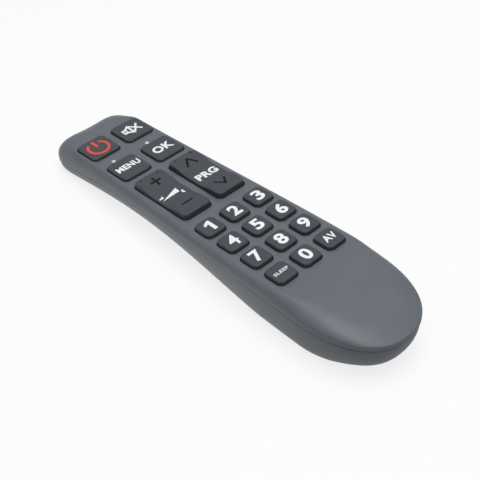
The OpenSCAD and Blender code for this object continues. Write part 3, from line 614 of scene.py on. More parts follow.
def shell_form():
    """The upper shell, from its inside over the lip to its outside, with a softened lower edge."""
    rings = [deck_ring(WALL, t) for t in reversed(INSIDE)]
    rings += [shoulder_ring(WALL, a) for a in reversed(quarter(8))]
    rings += [seam_ring(WALL / 2, LIP_H), seam_ring(WALL / 2, 0), seam_ring(0.2, 0),
              seam_ring(0.05, 0.05), seam_ring(0, 0.2)]
    rings += [shoulder_ring(0, a) for a in quarter(16)]
    rings += [deck_ring(0, t) for t in OUTSIDE]
    return ring_solid(rings, name="shell_form")


def tray_form():
    """The lower shell, from its outside over the lip to its inside."""
    rings = [base_ring(0, t) for t in reversed(OUTSIDE)]
    rings += [belly_ring(0, a) for a in reversed(quarter(16, 1))]
    rings += [seam_ring(SEAM_STEP, -SEAM_GAP - 0.2), seam_ring(SEAM_STEP + 0.05, -SEAM_GAP - 0.05),
              seam_ring(SEAM_STEP + 0.2, -SEAM_GAP)]
    lip_skin, lip_top = (WALL + CLEAR) / 2, LIP_H - CLEAR / 2
    rings += [seam_ring(lip_skin, -SEAM_GAP), seam_ring(lip_skin, lip_top), seam_ring(WALL, lip_top)]
    rings += [belly_ring(WALL, a) for a in quarter(8)]
    rings += [base_ring(WALL, t) for t in INSIDE]
    return ring_solid(rings, name="tray_form")


def tray_core():
    """The space inside the lower shell, out to the middle of its wall."""
    rings = [base_ring(WALL / 2, t) for t in reversed(INSIDE)]
    rings += [belly_ring(WALL / 2, a) for a in reversed(quarter(8))]
    return ring_solid(rings, name="tray_core")


print("faces of the upper form:", len(shell_form().polygons))

# %% [markdown]
# ## Upper shell
# The shell carries an opening for every key, two holes for the indicator lenses and one for the
# emitter in its front end. The openings are cut with a Boolean modifier. Each cutter flares by a
# fraction of a millimetre at the deck, because a moulded edge is never perfectly sharp, and that
# thin soft edge is what catches the light round each key.

# %% Upper shell
EDGE_SOFT = 0.15


def opening(x, y, w, l, r):
    """Cutter for one key opening, with its flared top."""
    rings = []
    for z, grow in ((-3.4, 0), (-EDGE_SOFT, 0), (-0.5 * EDGE_SOFT, 0.13 * EDGE_SOFT),
                    (-0.13 * EDGE_SOFT, 0.5 * EDGE_SOFT), (0.3 * EDGE_SOFT, 1.4 * EDGE_SOFT),
                    (2, 2 * EDGE_SOFT)):
        rings.append(ring(rounded_loop(w + 2 * grow, l + 2 * grow, r + grow) + [x, y], z))
    return ring_solid(rings, name="opening")


cutters = [opening(x, y, w + 2 * KEY_GAP, l + 2 * KEY_GAP, r + KEY_GAP)
           for x, y, w, l, r, _ in KEYS.values()]
cutters += [opening(x, y, w + 2 * KEY_GAP, l + 2 * (KEY_GAP + ROCKER_GAP), r + KEY_GAP)
            for x, y, w, l, r, _ in ROCKERS.values()]
lens_hole = LENS_D / 2 + FIT
cutters += [turned([(lens_hole, -3.2), (lens_hole, 1.6)], (x, LENS_Y, 0)) for x in LENS_X.values()]
emitter_hole = EMITTER_D / 2 + FIT
cutters += [turned([(emitter_hole, 0), (emitter_hole, EMITTER_L)], (0, HALF_LEN + 1, -EMITTER_Z), "-Y")]
HEAD_POST_X, HEAD_POST_Y, TAIL_POST_X, TAIL_POST_Y = 12, HALF_LEN - 9.4, 14.6, LAST_ROW_Y - KEY_W / 2 - 3.2
POST_R, POST_BORE, CASE_POST_R, CASE_POST_BORE = 1.8, 0.84, 2.3, 1.04
posts = [(-HEAD_POST_X, HEAD_POST_Y), (HEAD_POST_X, HEAD_POST_Y), (0, (POWER_Y + MENU_Y) / 2),
         (0, MENU_Y - (BIG_L + ROW_GAP) / 2), (0, DIGIT_Y + (KEY_W + DIGIT_GAP) / 2),
         (-TAIL_POST_X, TAIL_POST_Y), (TAIL_POST_X, TAIL_POST_Y)]
stems = [turned([(POST_R, BOARD_TOP), (POST_R, -WALL + CLEAR)], (x, y, 0)) for x, y in posts]
SCREW_Y, SHELF_Z = -HALF_LEN + 7.6, 4.4 + 2 * CLEAR + 1.1
stems += [turned([(CASE_POST_R, SHELF_Z + 1.2 + CLEAR), (CASE_POST_R, 15.5)], (0, SCREW_Y, 0),
                 stand=as_metres)]
cutters += [turned([(POST_BORE, BOARD_FOOT), (POST_BORE, -WALL - CLEAR)], (x, y, 0)) for x, y in posts]
cutters += [turned([(CASE_POST_BORE, SHELF_Z), (CASE_POST_BORE, SHELF_Z + 8.3)], (0, SCREW_Y, 0),
                   stand=as_metres)]
shell = combined(shell_form(), joined(stems), "UNION")
shell = combined(shell, joined(cutters), "DIFFERENCE")
upper_case = finished("upper_case_fine", shell, case_plastic, "body")
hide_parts("upper_case")
print("upper shell faces:", len(upper_case.data.polygons))

# %% [markdown]
# ## Lower shell and battery door
# Both are cut from one form. The door is the part of the tray inside a stepped outline, low along
# the bay and higher round the tail, and the tray keeps the rest with a hair's gap. The tray's
# inside holds the frame of the battery bay, which shows when the door is open.

# %% Lower shell
CELL_D, CELL_Z, DOOR_W, DOOR_TOP, DOOR_WRAP = 10.3, 8, 26, 2.5, 4.4
TAIL_PLATE_Y, HEAD_PLATE_Y = BAY_TAIL - 2.6, BAY_HEAD + 2.6
BAY_WALL, PLATE_T = 1.2, 0.4
BAY_BACK, BAY_FRONT = TAIL_PLATE_Y - PLATE_T - BAY_WALL, HEAD_PLATE_Y + PLATE_T + BAY_WALL
WRAP_Y, DOOR_Y = BAY_BACK - CLEAR, BAY_HEAD + 3
BAY_HALF = (CELL_D + CLEAR) / 2 + CELL_D / 2 + 1.5 * CLEAR
BAY_TOP = CELL_Z + CELL_D / 2
LEDGE_W, LEDGE_TOP, RIB_TOP = 4.7, DOOR_TOP + CLEAR + 1, 9
TONGUE_W, TONGUE_L, TONGUE_T, TONGUE_Z, TRAVEL = 1, 6, 0.6, 0.9, 8
TONGUES_Y = (DOOR_Y - 36, DOOR_Y - 18)
LATCH_W, LATCH_L = 7, 1
LATCH_Z = on_table([0, DOOR_Y, base_z(DOOR_Y)])[2] * 1000 + 0.6 + CLEAR
GRIP_W, GRIP_Y, GRIP_PITCH, GRIP_H = 12, DOOR_Y - 18, 2, 0.4


def door_space(gap):
    """Space of the door: low along the bay, higher round the tail, as one stepped prism."""
    half = DOOR_W / 2 + gap
    profile = [(-CASE_LEN, -2), (DOOR_Y + gap, -2), (DOOR_Y + gap, DOOR_TOP + gap),
               (WRAP_Y, DOOR_TOP + gap), (WRAP_Y, DOOR_WRAP + gap), (-CASE_LEN, DOOR_WRAP + gap)]
    points = [(x, y, z) for x in (-half, half) for y, z in profile]
    n = len(profile)
    faces = [(i, (i + 1) % n, n + (i + 1) % n, n + i) for i in range(n)]
    faces += [tuple(range(n))[::-1], tuple(range(n, 2 * n))]
    return solid(as_metres(points), faces, "door_space")


frame_parts = []
for s in (-1, 1):
    def side_block(x0, y0, z0, x1, y1, z1):
        return block((min(s * x0, s * x1), y0, z0), (max(s * x0, s * x1), y1, z1))
    frame_parts.append(side_block(BAY_HALF, BAY_BACK, 0, BAY_HALF + BAY_WALL, BAY_FRONT, BAY_TOP))
    frame_parts.append(side_block(BAY_HALF, BAY_BACK, 0, BAY_HALF + LEDGE_W, BAY_FRONT, LEDGE_TOP))
    for t in (0.15, 0.5, 0.85):
        y = mix(BAY_BACK, BAY_FRONT, t)
        frame_parts.append(side_block(BAY_HALF, y - BAY_WALL / 2, 0,
                                      BAY_HALF + LEDGE_W, y + BAY_WALL / 2, RIB_TOP))
frame_parts.append(block((-BAY_HALF, BAY_BACK, 0), (BAY_HALF, BAY_BACK + BAY_WALL, BAY_TOP)))
frame_parts.append(block((-BAY_HALF, BAY_FRONT - BAY_WALL, 0), (BAY_HALF, BAY_FRONT, BAY_TOP)))
frame_parts.append(block((-4.6, -CASE_LEN, SHELF_Z), (4.6, BAY_BACK + BAY_WALL, SHELF_Z + BAY_WALL)))
bay_frame = combined(joined(frame_parts), tray_core(), "INTERSECT", overlapping=True)
tray = combined(tray_form(), bay_frame, "UNION", overlapping=True)
slots = []
for s in (-1, 1):
    for y in TONGUES_Y:
        inner, outer = DOOR_W / 2, DOOR_W / 2 + TONGUE_W + CLEAR
        low_y, rest_y = y - TRAVEL - CLEAR, y + TONGUE_L + CLEAR
        slots.append(block((min(s * inner, s * outer), low_y, TONGUE_Z - CLEAR),
                           (max(s * inner, s * outer), rest_y, TONGUE_Z + TONGUE_T + CLEAR)))
        slots.append(block((min(s * inner, s * outer), low_y, -2),
                           (max(s * inner, s * outer), y + TONGUE_L - TRAVEL + CLEAR, TONGUE_Z)))
slots.append(block((-LATCH_W / 2 - CLEAR, DOOR_Y, LATCH_Z - CLEAR),
                   (LATCH_W / 2 + CLEAR, DOOR_Y + LATCH_L + CLEAR, LATCH_Z + TONGUE_T + CLEAR)))
slots.append(turned([(1.3, 0), (1.3, SHELF_Z + 2.4)], (0, SCREW_Y, 0), stand=as_metres))
tray = combined(tray, joined([door_space(CLEAR)] + slots), "DIFFERENCE", overlapping=True)
lower_case = finished("lower_case_fine", tray, case_plastic, "body")
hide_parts("lower_case")
print("lower shell faces:", len(lower_case.data.polygons))

# %% Battery door
door = combined(tray_form(), door_space(0), "INTERSECT")
tabs = [block((s * DOOR_W / 2 - TONGUE_W, y, TONGUE_Z),
              (s * DOOR_W / 2 + TONGUE_W, y + TONGUE_L, TONGUE_Z + TONGUE_T))
        for s in (-1, 1) for y in TONGUES_Y]
tabs.append(block((-LATCH_W / 2, DOOR_Y - 3, LATCH_Z),
                  (LATCH_W / 2, DOOR_Y + LATCH_L, LATCH_Z + TONGUE_T)))
door = combined(door, joined(tabs), "UNION")
door = combined(door, block((-GRIP_W / 2, GRIP_Y - 3 * GRIP_PITCH, -1),
                            (GRIP_W / 2, GRIP_Y + 3 * GRIP_PITCH, GRIP_H)), "DIFFERENCE")
battery_door = finished("battery_door_fine", door, case_plastic, "battery_door")
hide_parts("battery_door")
print("door faces:", len(battery_door.data.polygons))

# %% [markdown]
# ## Key caps
# All keys are the same form in other sizes: a rounded rectangle with upright sides, a soft edge
# and a slightly swollen top. That is a rule, so a Geometry Nodes tree makes them. A flat grid is
# wrapped round the outline: one direction of the grid runs round the key, the other from the
# middle of its foot up the side, over the edge and in to the middle of its top. Ears under the
# deck keep a key in, and a pill on its foot presses the board. A rocker also has raised ends.

# %% Tree: key cap
key_tree, steps, given = start_group(
    "key_cap", "GeometryNodeTree",
    [(name, "Float", 0.001) for name in (
        "Width", "Length", "Corner", "Draft", "Edge", "Rise", "Foot", "Crown", "Saddle",
        "Knee Start", "Knee End", "Ear Width", "Ear Length", "Ear Top", "Pill Place", "Pill Radius",
        "Pill Length", "Rib Radius")]
    + [(name, "Int", 8) for name in ("Around", "Edge Steps", "Top Steps")]
    + [("Material", "Material", None)],
    [("Geometry", "Geometry")])
do = steps.sum
rows = do("ADD", do("ADD", given["Edge Steps"], given["Top Steps"]), 3)
grid = steps.add("GeometryNodeMeshGrid", {"Size X": 1.0, "Size Y": 1.0, "Vertices Y": rows,
                                          "Vertices X": do("ADD", given["Around"], 1)})
index = steps.add("GeometryNodeInputIndex").outputs[0]
column = do("FLOOR", do("DIVIDE", do("ADD", index, 0.5), rows))
row = do("SUBTRACT", index, do("MULTIPLY", column, rows))
outline = steps.add("GeometryNodeCurvePrimitiveQuadrilateral", {"Width": given["Width"],
                                                                "Height": given["Length"]})
fillet = steps.add("GeometryNodeFilletCurve", {"Curve": outline.outputs[0], "Radius": given["Corner"],
                                               "Count": 10}, mode="POLY")
sample = steps.add("GeometryNodeSampleCurve", {"Curves": fillet.outputs[0],
                                               "Factor": do("DIVIDE", column, given["Around"])})
where = steps.add("ShaderNodeSeparateXYZ", {0: sample.outputs["Position"]}).outputs
edge_share = steps.range(do("SUBTRACT", row, 2), 0.0, given["Edge Steps"], 0.0, 1.0)
arc = do("MULTIPLY", edge_share, math.pi / 2)
shrink = steps.range(do("SUBTRACT", do("SUBTRACT", row, 2), given["Edge Steps"]), 0.0,
                     given["Top Steps"], 1.0, 0.0)
shrink = do("MULTIPLY", shrink, do("GREATER_THAN", row, 0.5))
above_foot = do("GREATER_THAN", row, 1.5)
inset = do("ADD", do("MULTIPLY", above_foot, given["Draft"]),
           do("MULTIPLY", given["Edge"], do("SUBTRACT", 1, do("COSINE", arc))))
keep = do("SUBTRACT", 1, do("DIVIDE", inset, given["Corner"]))
flat = []
for side, size in ((where[0], given["Width"]), (where[1], given["Length"])):
    reach = do("SUBTRACT", do("DIVIDE", size, 2), given["Corner"])
    core = do("MAXIMUM", do("MINIMUM", side, reach), do("MULTIPLY", reach, -1))
    moved = do("ADD", core, do("MULTIPLY", do("SUBTRACT", side, core), keep))
    flat.append(do("MULTIPLY", moved, shrink))
swell = do("MULTIPLY", *[do("SUBTRACT", 1, do("POWER", do("DIVIDE", do("MULTIPLY", v, 2), size), 2))
                         for v, size in zip(flat, (given["Width"], given["Length"]))])
lift = steps.range(do("ABSOLUTE", flat[1]), given["Knee Start"], given["Knee End"], 0.0,
                   given["Saddle"], smooth=True)
top = do("SUBTRACT", given["Rise"], do("MULTIPLY", given["Edge"], do("SUBTRACT", 1, do("SINE", arc))))
top = do("ADD", do("ADD", top, lift), do("MULTIPLY", swell, given["Crown"]))
level = do("ADD", do("MULTIPLY", above_foot, top),
           do("MULTIPLY", do("SUBTRACT", 1, above_foot), given["Foot"]))
place = steps.add("ShaderNodeCombineXYZ", {"X": flat[0], "Y": flat[1], "Z": level})
wrapped = steps.add("GeometryNodeSetPosition", {"Geometry": grid.outputs["Mesh"],
                                                "Position": place.outputs[0]})
closed = steps.add("GeometryNodeMergeByDistance", {"Geometry": wrapped.outputs[0], "Distance": 1e-6})
facing = steps.add("GeometryNodeFlipFaces", {"Mesh": closed.outputs[0]})

ear_size = steps.add("ShaderNodeCombineXYZ", {"X": given["Ear Width"], "Y": given["Ear Length"],
                                              "Z": do("SUBTRACT", given["Ear Top"], given["Foot"])})
ear = steps.add("GeometryNodeMeshCube", {"Size": ear_size.outputs[0]})
ear_place = steps.add("ShaderNodeCombineXYZ", {
    "Z": do("DIVIDE", do("ADD", given["Ear Top"], given["Foot"]), 2)})
ear_set = steps.add("GeometryNodeTransform", {"Geometry": ear.outputs["Mesh"],
                                              "Translation": ear_place.outputs[0]})
pill_height = do("MULTIPLY", given["Pill Length"], 2)
pill = steps.add("GeometryNodeMeshCylinder", {"Vertices": 32, "Radius": given["Pill Radius"],
                                              "Depth": pill_height})
pills = steps.add("GeometryNodeJoinGeometry")
for sign in (-1, 1):
    pill_place = steps.add("ShaderNodeCombineXYZ", {"Y": do("MULTIPLY", given["Pill Place"], sign),
                                                    "Z": given["Foot"]})
    pill_set = steps.add("GeometryNodeTransform", {"Geometry": pill.outputs["Mesh"],
                                                   "Translation": pill_place.outputs[0]})
    steps.tree.links.new(pill_set.outputs[0], pills.inputs[0])
rib = steps.add("GeometryNodeMeshCylinder", {"Vertices": 24, "Radius": given["Rib Radius"],
                                             "Depth": given["Width"]})
rib_place = steps.add("ShaderNodeCombineXYZ", {"Z": given["Foot"]})
rib_set = steps.add("GeometryNodeTransform", {"Geometry": rib.outputs["Mesh"],
                                              "Translation": rib_place.outputs[0],
                                              "Rotation": (0, math.pi / 2, 0)})
union = steps.add("GeometryNodeMeshBoolean", operation="UNION", solver="EXACT")
union.inputs["Self Intersection"].default_value = True
for part in (rib_set, pills, ear_set, facing):
    steps.tree.links.new(part.outputs[0], union.inputs["Mesh 2"])
real = steps.add("GeometryNodeRealizeInstances", {"Geometry": union.outputs[0]})
dressed = steps.add("GeometryNodeSetMaterial", {"Geometry": real.outputs[0],
                                                "Material": given["Material"]})
steps.add("NodeGroupOutput", {"Geometry": dressed.outputs[0]})
print("steps in the key tree:", len(key_tree.nodes))

# %% Helper: run a tree


def grown(tree, name, **sizes):
    """The mesh that a Geometry Nodes tree makes with these inputs; spaces in names become _."""
    holder = bpy.data.objects.new(name, bpy.data.meshes.new(name))
    scene.collection.objects.link(holder)
    modifier = holder.modifiers.new("grow", "NODES")
    modifier.node_group = tree
    for item in tree.interface.items_tree:
        key = item.name.replace(" ", "_")
        if item.in_out == "INPUT" and key in sizes:
            modifier[item.identifier] = sizes[key]
    bpy.context.view_layer.update()
    mesh = bpy.data.meshes.new_from_object(
        holder.evaluated_get(bpy.context.evaluated_depsgraph_get()))
    holder.modifiers.clear()
    bpy.data.objects.remove(holder)
    return mesh


# %% Keys and rockers
MM = 0.001


def key_piece(name, key, rocker=False):
    """One key on its deck place, riding on its own body."""
    x, y, w, l, corner, rise = key
    ear_w, ear_l = (w + 2 * EAR_REACH, 2 * ROCKER_EAR) if rocker else (EAR_PART * w, l + 2 * EAR_REACH)
    mesh = grown(
        key_tree, name, Width=w * MM, Length=l * MM, Corner=corner * MM, Draft=KEY_DRAFT * MM,
        Edge=KEY_EDGE * MM, Rise=rise * MM, Foot=CAP_FOOT * MM, Crown=KEY_CROWN * MM,
        Saddle=(SADDLE_RISE if rocker else 0) * MM, Knee_Start=KNEE_START * MM,
        Knee_End=KNEE_END * MM, Ear_Width=ear_w * MM, Ear_Length=ear_l * MM,
        Ear_Top=(EAR_TOP - (CLEAR if rocker else 0)) * MM,
        Pill_Place=(ROCKER_PILL if rocker else 0) * MM, Pill_Radius=PILL_D / 2 * MM,
        Pill_Length=2 * CLEAR * MM, Rib_Radius=(PIVOT_R if rocker else 0.3) * MM,
        Around=200 if rocker else 96, Edge_Steps=6, Top_Steps=14, Material=key_plastic)
    mesh.transform(SEAT @ Matrix.Translation((x * MM, y * MM, 0)))
    piece = finished(name + "_fine", mesh, key_plastic, name)
    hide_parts(name)
    return piece


for name, key in KEYS.items():
    key_piece(name, key)
for name, key in ROCKERS.items():
    key_piece(name, key, rocker=True)

# %% [markdown]
# ## Grip of the battery door
# Five low ridges lie in a shallow pocket under the door, for a fingertip to pull on. They repeat
# along a line, so a small tree sets the same bar on every point of a line of points.

# %% Tree: grip ridges
ridge_tree, steps, given = start_group(
    "grip_ridges", "GeometryNodeTree",
    [("Count", "Int", 5), ("Pitch", "Float", 0.002), ("Radius", "Float", 0.0004),
     ("Length", "Float", 0.012), ("Start", "Float", 0.0), ("Height", "Float", 0.0004),
     ("Material", "Material", None)],
    [("Geometry", "Geometry")])
first = steps.add("ShaderNodeCombineXYZ", {"Y": given["Start"], "Z": given["Height"]})
stride = steps.add("ShaderNodeCombineXYZ", {"Y": given["Pitch"]})
line = steps.add("GeometryNodeMeshLine", {"Count": given["Count"], "Start Location": first.outputs[0],
                                          "Offset": stride.outputs[0]})
bar = steps.add("GeometryNodeMeshCylinder", {"Vertices": 16, "Radius": given["Radius"],
                                             "Depth": given["Length"]})
bars = steps.add("GeometryNodeInstanceOnPoints", {"Points": line.outputs[0], "Instance": bar.outputs[0],
                                                  "Rotation": (0, math.pi / 2, 0)})
real = steps.add("GeometryNodeRealizeInstances", {"Geometry": bars.outputs[0]})
dressed = steps.add("GeometryNodeSetMaterial", {"Geometry": real.outputs[0],
                                                "Material": given["Material"]})
steps.add("NodeGroupOutput", {"Geometry": dressed.outputs[0]})
ridges = finished("door_grip_ridges", grown(
    ridge_tree, "door_grip_ridges", Count=5, Pitch=GRIP_PITCH * MM, Radius=0.38 * MM,
    Length=(GRIP_W - 0.02) * MM, Start=(GRIP_Y - 2 * GRIP_PITCH) * MM, Height=GRIP_H * MM,
    Material=case_plastic), case_plastic, "battery_door")
print("ridge faces:", len(ridges.data.polygons))

# %% [markdown]
# ## Printed signs
# The signs are a thin layer of ink on the crowned key tops. The near-black plus, minus and
# arrows on the rockers stand for engraved grooves, and their ink is painted groove shade. Each
# one starts as a flat shape: a word in the built-in typeface made heavier, a line of even width,
# or a plain polygon. It is cut along a fine grid, so that it can bend, laid on the key's top and
# given a hair's thickness. An image texture could hold the signs too, but a mesh stays sharp at
# any distance.

# %% Flat shapes
FACET, INK_RISE, INK_DEPTH = 0.7, 0.02, 0.05


def flat(polygons):
    """A flat mesh of closed polygons, each a row of (x, y) in millimetres."""
    points, faces = [], []
    for polygon in polygons:
        faces.append(tuple(range(len(points), len(points) + len(polygon))))
        points += [(x, y, 0) for x, y in polygon]
    mesh = bpy.data.meshes.new("flat")
    mesh.from_pydata(points, [], faces)
    return mesh


def stroke(points, width, closed=False):
    """The four-sided pieces of a line of even width, mitred at its corners."""
    p = np.array(points, float)
    step = np.roll(p, -1, 0) - p
    step /= np.linalg.norm(step, axis=1)[:, None]
    before = np.roll(step, 1, 0)
    if not closed:
        before[0], step[-1] = step[0], before[-1]
    along = before + step
    along /= np.linalg.norm(along, axis=1)[:, None]
    side = np.stack([-along[:, 1], along[:, 0]], 1)
    side *= (width / 2 / (along * step).sum(1))[:, None]
    a, b, n = p + side, p - side, len(p)
    return [[a[i], b[i], b[(i + 1) % n], a[(i + 1) % n]] for i in range(n if closed else n - 1)]


def cross(x, y, reach_x, reach_y, width, turn=0):
    """A plus sign of relative line width, or with a turn of 45 degrees a multiplication sign."""
    h = width / 2
    arm = [(-h, h), (-h, 1), (h, 1)]
    points = []
    for i in range(4):
        a = math.radians(turn - 90 * i)
        points += [(px * math.cos(a) - py * math.sin(a), px * math.sin(a) + py * math.cos(a))
                   for px, py in arm]
    return [(x + px * reach_x, y + py * reach_y) for px, py in points]


def arc(x, y, radius, start, end, steps=48):
    """Points of an arc, angles in degrees."""
    return [(x + radius * math.cos(math.radians(mix(start, end, i / steps))),
             y + radius * math.sin(math.radians(mix(start, end, i / steps)))) for i in range(steps + 1)]


def word(text, height, width=None, weight=0.03):
    """A flat word, centred and fitted to a height, and to a width where one is given."""
    curve = bpy.data.curves.new(text, "FONT")
    curve.body, curve.offset, curve.resolution_u = text, weight, 4
    curve.space_character = 1.08
    holder = bpy.data.objects.new(text, curve)
    scene.collection.objects.link(holder)
    bpy.context.view_layer.update()
    mesh = bpy.data.meshes.new_from_object(
        holder.evaluated_get(bpy.context.evaluated_depsgraph_get()))
    bpy.data.objects.remove(holder)
    spots = np.array([v.co for v in mesh.vertices])
    low, high = spots.min(0), spots.max(0)
    scale_y = height / (high[1] - low[1])
    scale_x = width / (high[0] - low[0]) if width else scale_y
    mesh.transform(Matrix.Diagonal((scale_x, scale_y, 1, 1))
                   @ Matrix.Translation((-(low[0] + high[0]) / 2, -(low[1] + high[1]) / 2, 0)))
    return mesh


# %% Laying a sign on a key


def key_top(points, key, rocker):
    """Height of a key's top in the deck frame, for points measured from the key's middle."""
    _, _, w, l, _, rise = key
    x, y = points[:, 0], points[:, 1]
    swell = (1 - (2 * x / w) ** 2) * (1 - (2 * y / l) ** 2)
    lift = SADDLE_RISE * ease(held((np.abs(y) - KNEE_START) / (KNEE_END - KNEE_START))) if rocker else 0
    return rise + KEY_CROWN * swell + lift


def printed(name, mesh, body, material, place=(0, 0)):
    """A sign of ink on the key of the same body."""
    rocker = body in ROCKERS
    key = ROCKERS[body] if rocker else KEYS[body]
    work = bmesh.new()
    work.from_mesh(mesh)
    bpy.data.meshes.remove(mesh)
    bmesh.ops.translate(work, vec=(*place, 0), verts=work.verts)
    bmesh.ops.remove_doubles(work, verts=work.verts, dist=1e-4)
    for axis, normal in ((0, (1, 0, 0)), (1, (0, 1, 0))):
        spread = [v.co[axis] for v in work.verts]
        for i in range(math.ceil(min(spread) / FACET), math.floor(max(spread) / FACET) + 1):
            bmesh.ops.bisect_plane(work, geom=work.verts[:] + work.edges[:] + work.faces[:],
                                   plane_co=[i * FACET * n for n in normal], plane_no=normal, dist=1e-5)
    bmesh.ops.triangulate(work, faces=work.faces[:])
    work.verts.index_update()
    spots = np.array([v.co for v in work.verts])
    faces = [[v.index for v in f.verts] for f in work.faces]
    work.free()
    turns = [np.cross(spots[b] - spots[a], spots[c] - spots[a])[2] for a, b, c in faces]
    faces = [f if t > 0 else f[::-1] for f, t in zip(faces, turns) if abs(t) > 1e-9]
    edges = {(f[i], f[(i + 1) % 3]) for f in faces for i in range(3)}
    count = len(spots)
    walls = [(b, a, a + count, b + count) for a, b in edges if (b, a) not in edges]
    top = key_top(spots, key, rocker)
    levels = [spots * [1, 1, 0] + np.outer(top + rise, [0, 0, 1]) for rise in (INK_RISE, -INK_DEPTH)]
    layer = bpy.data.meshes.new(name)
    layer.from_pydata([tuple(v) for v in on_table(np.concatenate(levels) + [key[0], key[1], 0])], [],
                      faces + [[v + count for v in f[::-1]] for f in faces] + walls)
    layer.validate()
    return finished(name, layer, material, body)


# %% Words and numbers
ONE = [(-0.1, -3), (1.5, -3), (1.5, 3), (0.4, 3), (-1.9, 1.7), (-1.9, 0.3), (-0.1, 1.1)]
for digit in range(10):
    weight = 0.015 if digit == 4 else 0.035
    shape = flat([ONE]) if digit == 1 else word(str(digit), 6.1, 4.4, weight)
    printed(f"print_{digit}", shape, f"key_{digit}", white_print)
printed("print_sleep", word("SLEEP", 1.5, 6.9, 0.02), "key_sleep", white_print)
printed("print_av", word("AV", 3.6, 6.0), "key_av", white_print)
printed("print_ok", word("OK", 4.8, 9.7, 0.04), "key_ok", white_print, (0, -0.2))
printed("print_menu", word("MENU", 3.6, 11.5, 0.042), "key_menu", white_print, (0, 0.3))
printed("print_prg", word("PRG", 4.1, 10.6, 0.042), "rocker_program", white_print, (0, -0.5))

# %% Signs of the large keys
power_ring = stroke(arc(0, 0, 4.5, 123, 417), 1.2) + stroke([(0, 5.2), (0, 0.4)], 1.3)
printed("print_power", flat(power_ring), "key_power", red_print, (-0.2, -0.4))
horn = [(-4.0, -0.9), (-2.5, -0.9), (-0.4, -2.4), (-0.4, 3.0), (-2.5, 1.5), (-4.0, 1.5)]
speaker = stroke(horn, 1.0, closed=True) + stroke([(-2.5, -0.5), (-2.5, 1.1)], 0.7)
printed("print_mute", flat(speaker), "key_mute", white_print, (-0.2, -0.5))
printed("print_mute_cross", flat([cross(2.0, -0.3, 2.9, 3.6, 0.3, 45)]), "key_mute", white_print)

# %% Signs of the rockers
printed("print_wedge", flat([[(3.1, 1.8), (-5.8, -1.4), (3.0, -1.1)]]), "rocker_volume", white_print)
quiet = [(-6.2, 0.7), (-5.2, 0.8), (-4.2, 1.7), (-4.2, -0.1), (-5.2, 0), (-6.2, 0.1)]
loud = [(3.4, -1.6), (4.4, -0.6), (4.4, -3.4), (3.4, -2.6)]
printed("print_quiet", flat([quiet]), "rocker_volume", white_print)
printed("print_loud", flat([loud]), "rocker_volume", white_print)
# the plus, minus and arrows stand for engraved grooves: their near-black ink is painted groove shade
printed("print_plus", flat([cross(0, 10, 2.6, 2.6, 0.38)]), "rocker_volume", dark_print)
printed("print_minus", flat(stroke([(-2.75, -9.4), (2.75, -9.4)], 0.95)), "rocker_volume", dark_print)
for end, side in (("head", 1), ("tail", -1)):
    arrow = stroke([(-2.75, side * 7.7), (0, side * 11.9), (2.75, side * 7.7)], 0.95)
    printed(f"print_arrow_{end}", flat(arrow), "rocker_program", dark_print)
for body in ROCKERS:
    dots = [arc(x, ROCKER_L / 2 - 1.8, 0.42, 0, 345, 23) for x in (-4.3, 4.3)]
    printed("print_dots_" + body, flat(dots), body, dark_print)

# %% [markdown]
# ## Lenses and the infrared emitter
# Two small light pipes sit flush in the deck and end in low domes. The emitter is a tinted bead
# with a collar that lies in the head, and only its round tip shows through the case. Both are
# turned forms, so each is a profile swept round its axis.

# %% Lenses
lens_plastic = moulded("lens_plastic", (0.6, 0.7, 0.77), (0.5, 0.58, 0.64), (0.12, 0.2), 4000.0, 0.08,
                       patches=900.0, amount=0.3)
emitter_plastic = moulded("emitter_plastic", (0.05, 0.045, 0.07), (0.07, 0.06, 0.09), (0.06, 0.14),
                          3000.0, 0.05, patches=400.0, amount=0.3)
DOME_R = 1.5
for side, x in LENS_X.items():
    profile = [(LENS_D / 2, BOARD_TOP + 1)]
    profile += [(r, LENS_RISE - DOME_R + math.sqrt(DOME_R ** 2 - r ** 2))
                for r in (LENS_D / 2, 0.86, 0.78, 0.66, 0.5, 0.32, 0.12)]
    lens = finished("lens_" + side, turned(profile, (x, LENS_Y, 0)), lens_plastic, "body")
    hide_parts("indicator_lens_" + side)

# %% Emitter
radius = EMITTER_D / 2
profile = [(radius * math.sin(a), radius * (1 - math.cos(a))) for a in
           [math.radians(d) for d in (3, 12, 24, 36, 48, 60, 72, 84, 90)]]
profile += [(radius, EMITTER_L - 1.05), (radius + 0.05, EMITTER_L - 1), (radius + 0.35, EMITTER_L - 1),
            (radius + 0.4, EMITTER_L - 0.95), (radius + 0.4, EMITTER_L)]
bead = turned(profile, (0, HALF_LEN - EMITTER_TIP, -EMITTER_Z), "-Y")
emitter = finished("infrared_emitter_fine", bead, emitter_plastic, "body")
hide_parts("infrared_emitter")
lead_y = HALF_LEN - EMITTER_TIP - EMITTER_L
leads = [block((x - 0.25, lead_y - 5, BOARD_FOOT - 0.5), (x + 0.25, lead_y + 0.5, BOARD_FOOT), on_table)
         for x in (-1.27, 1.27)]
bright_metal = moulded("bright_metal", (0.62, 0.63, 0.65), (0.5, 0.5, 0.5), (0.2, 0.34), 1800.0, 0.12,
                       patches=250.0, amount=0.4, Metallic=1.0)
lead_piece = finished("emitter_leads", joined(leads), bright_metal, "body")
print("emitter faces:", len(emitter.data.polygons))

# %% [markdown]
# ## The pieces inside
# The board, its parts, the contacts and the cells keep the solids of the construction, which have
# the right shapes, and get finishes of their own: green lacquer with faint tracks under it, dipped
# blue lacquer on the resonator, nickel on the contacts, and a printed sleeve on the cells.

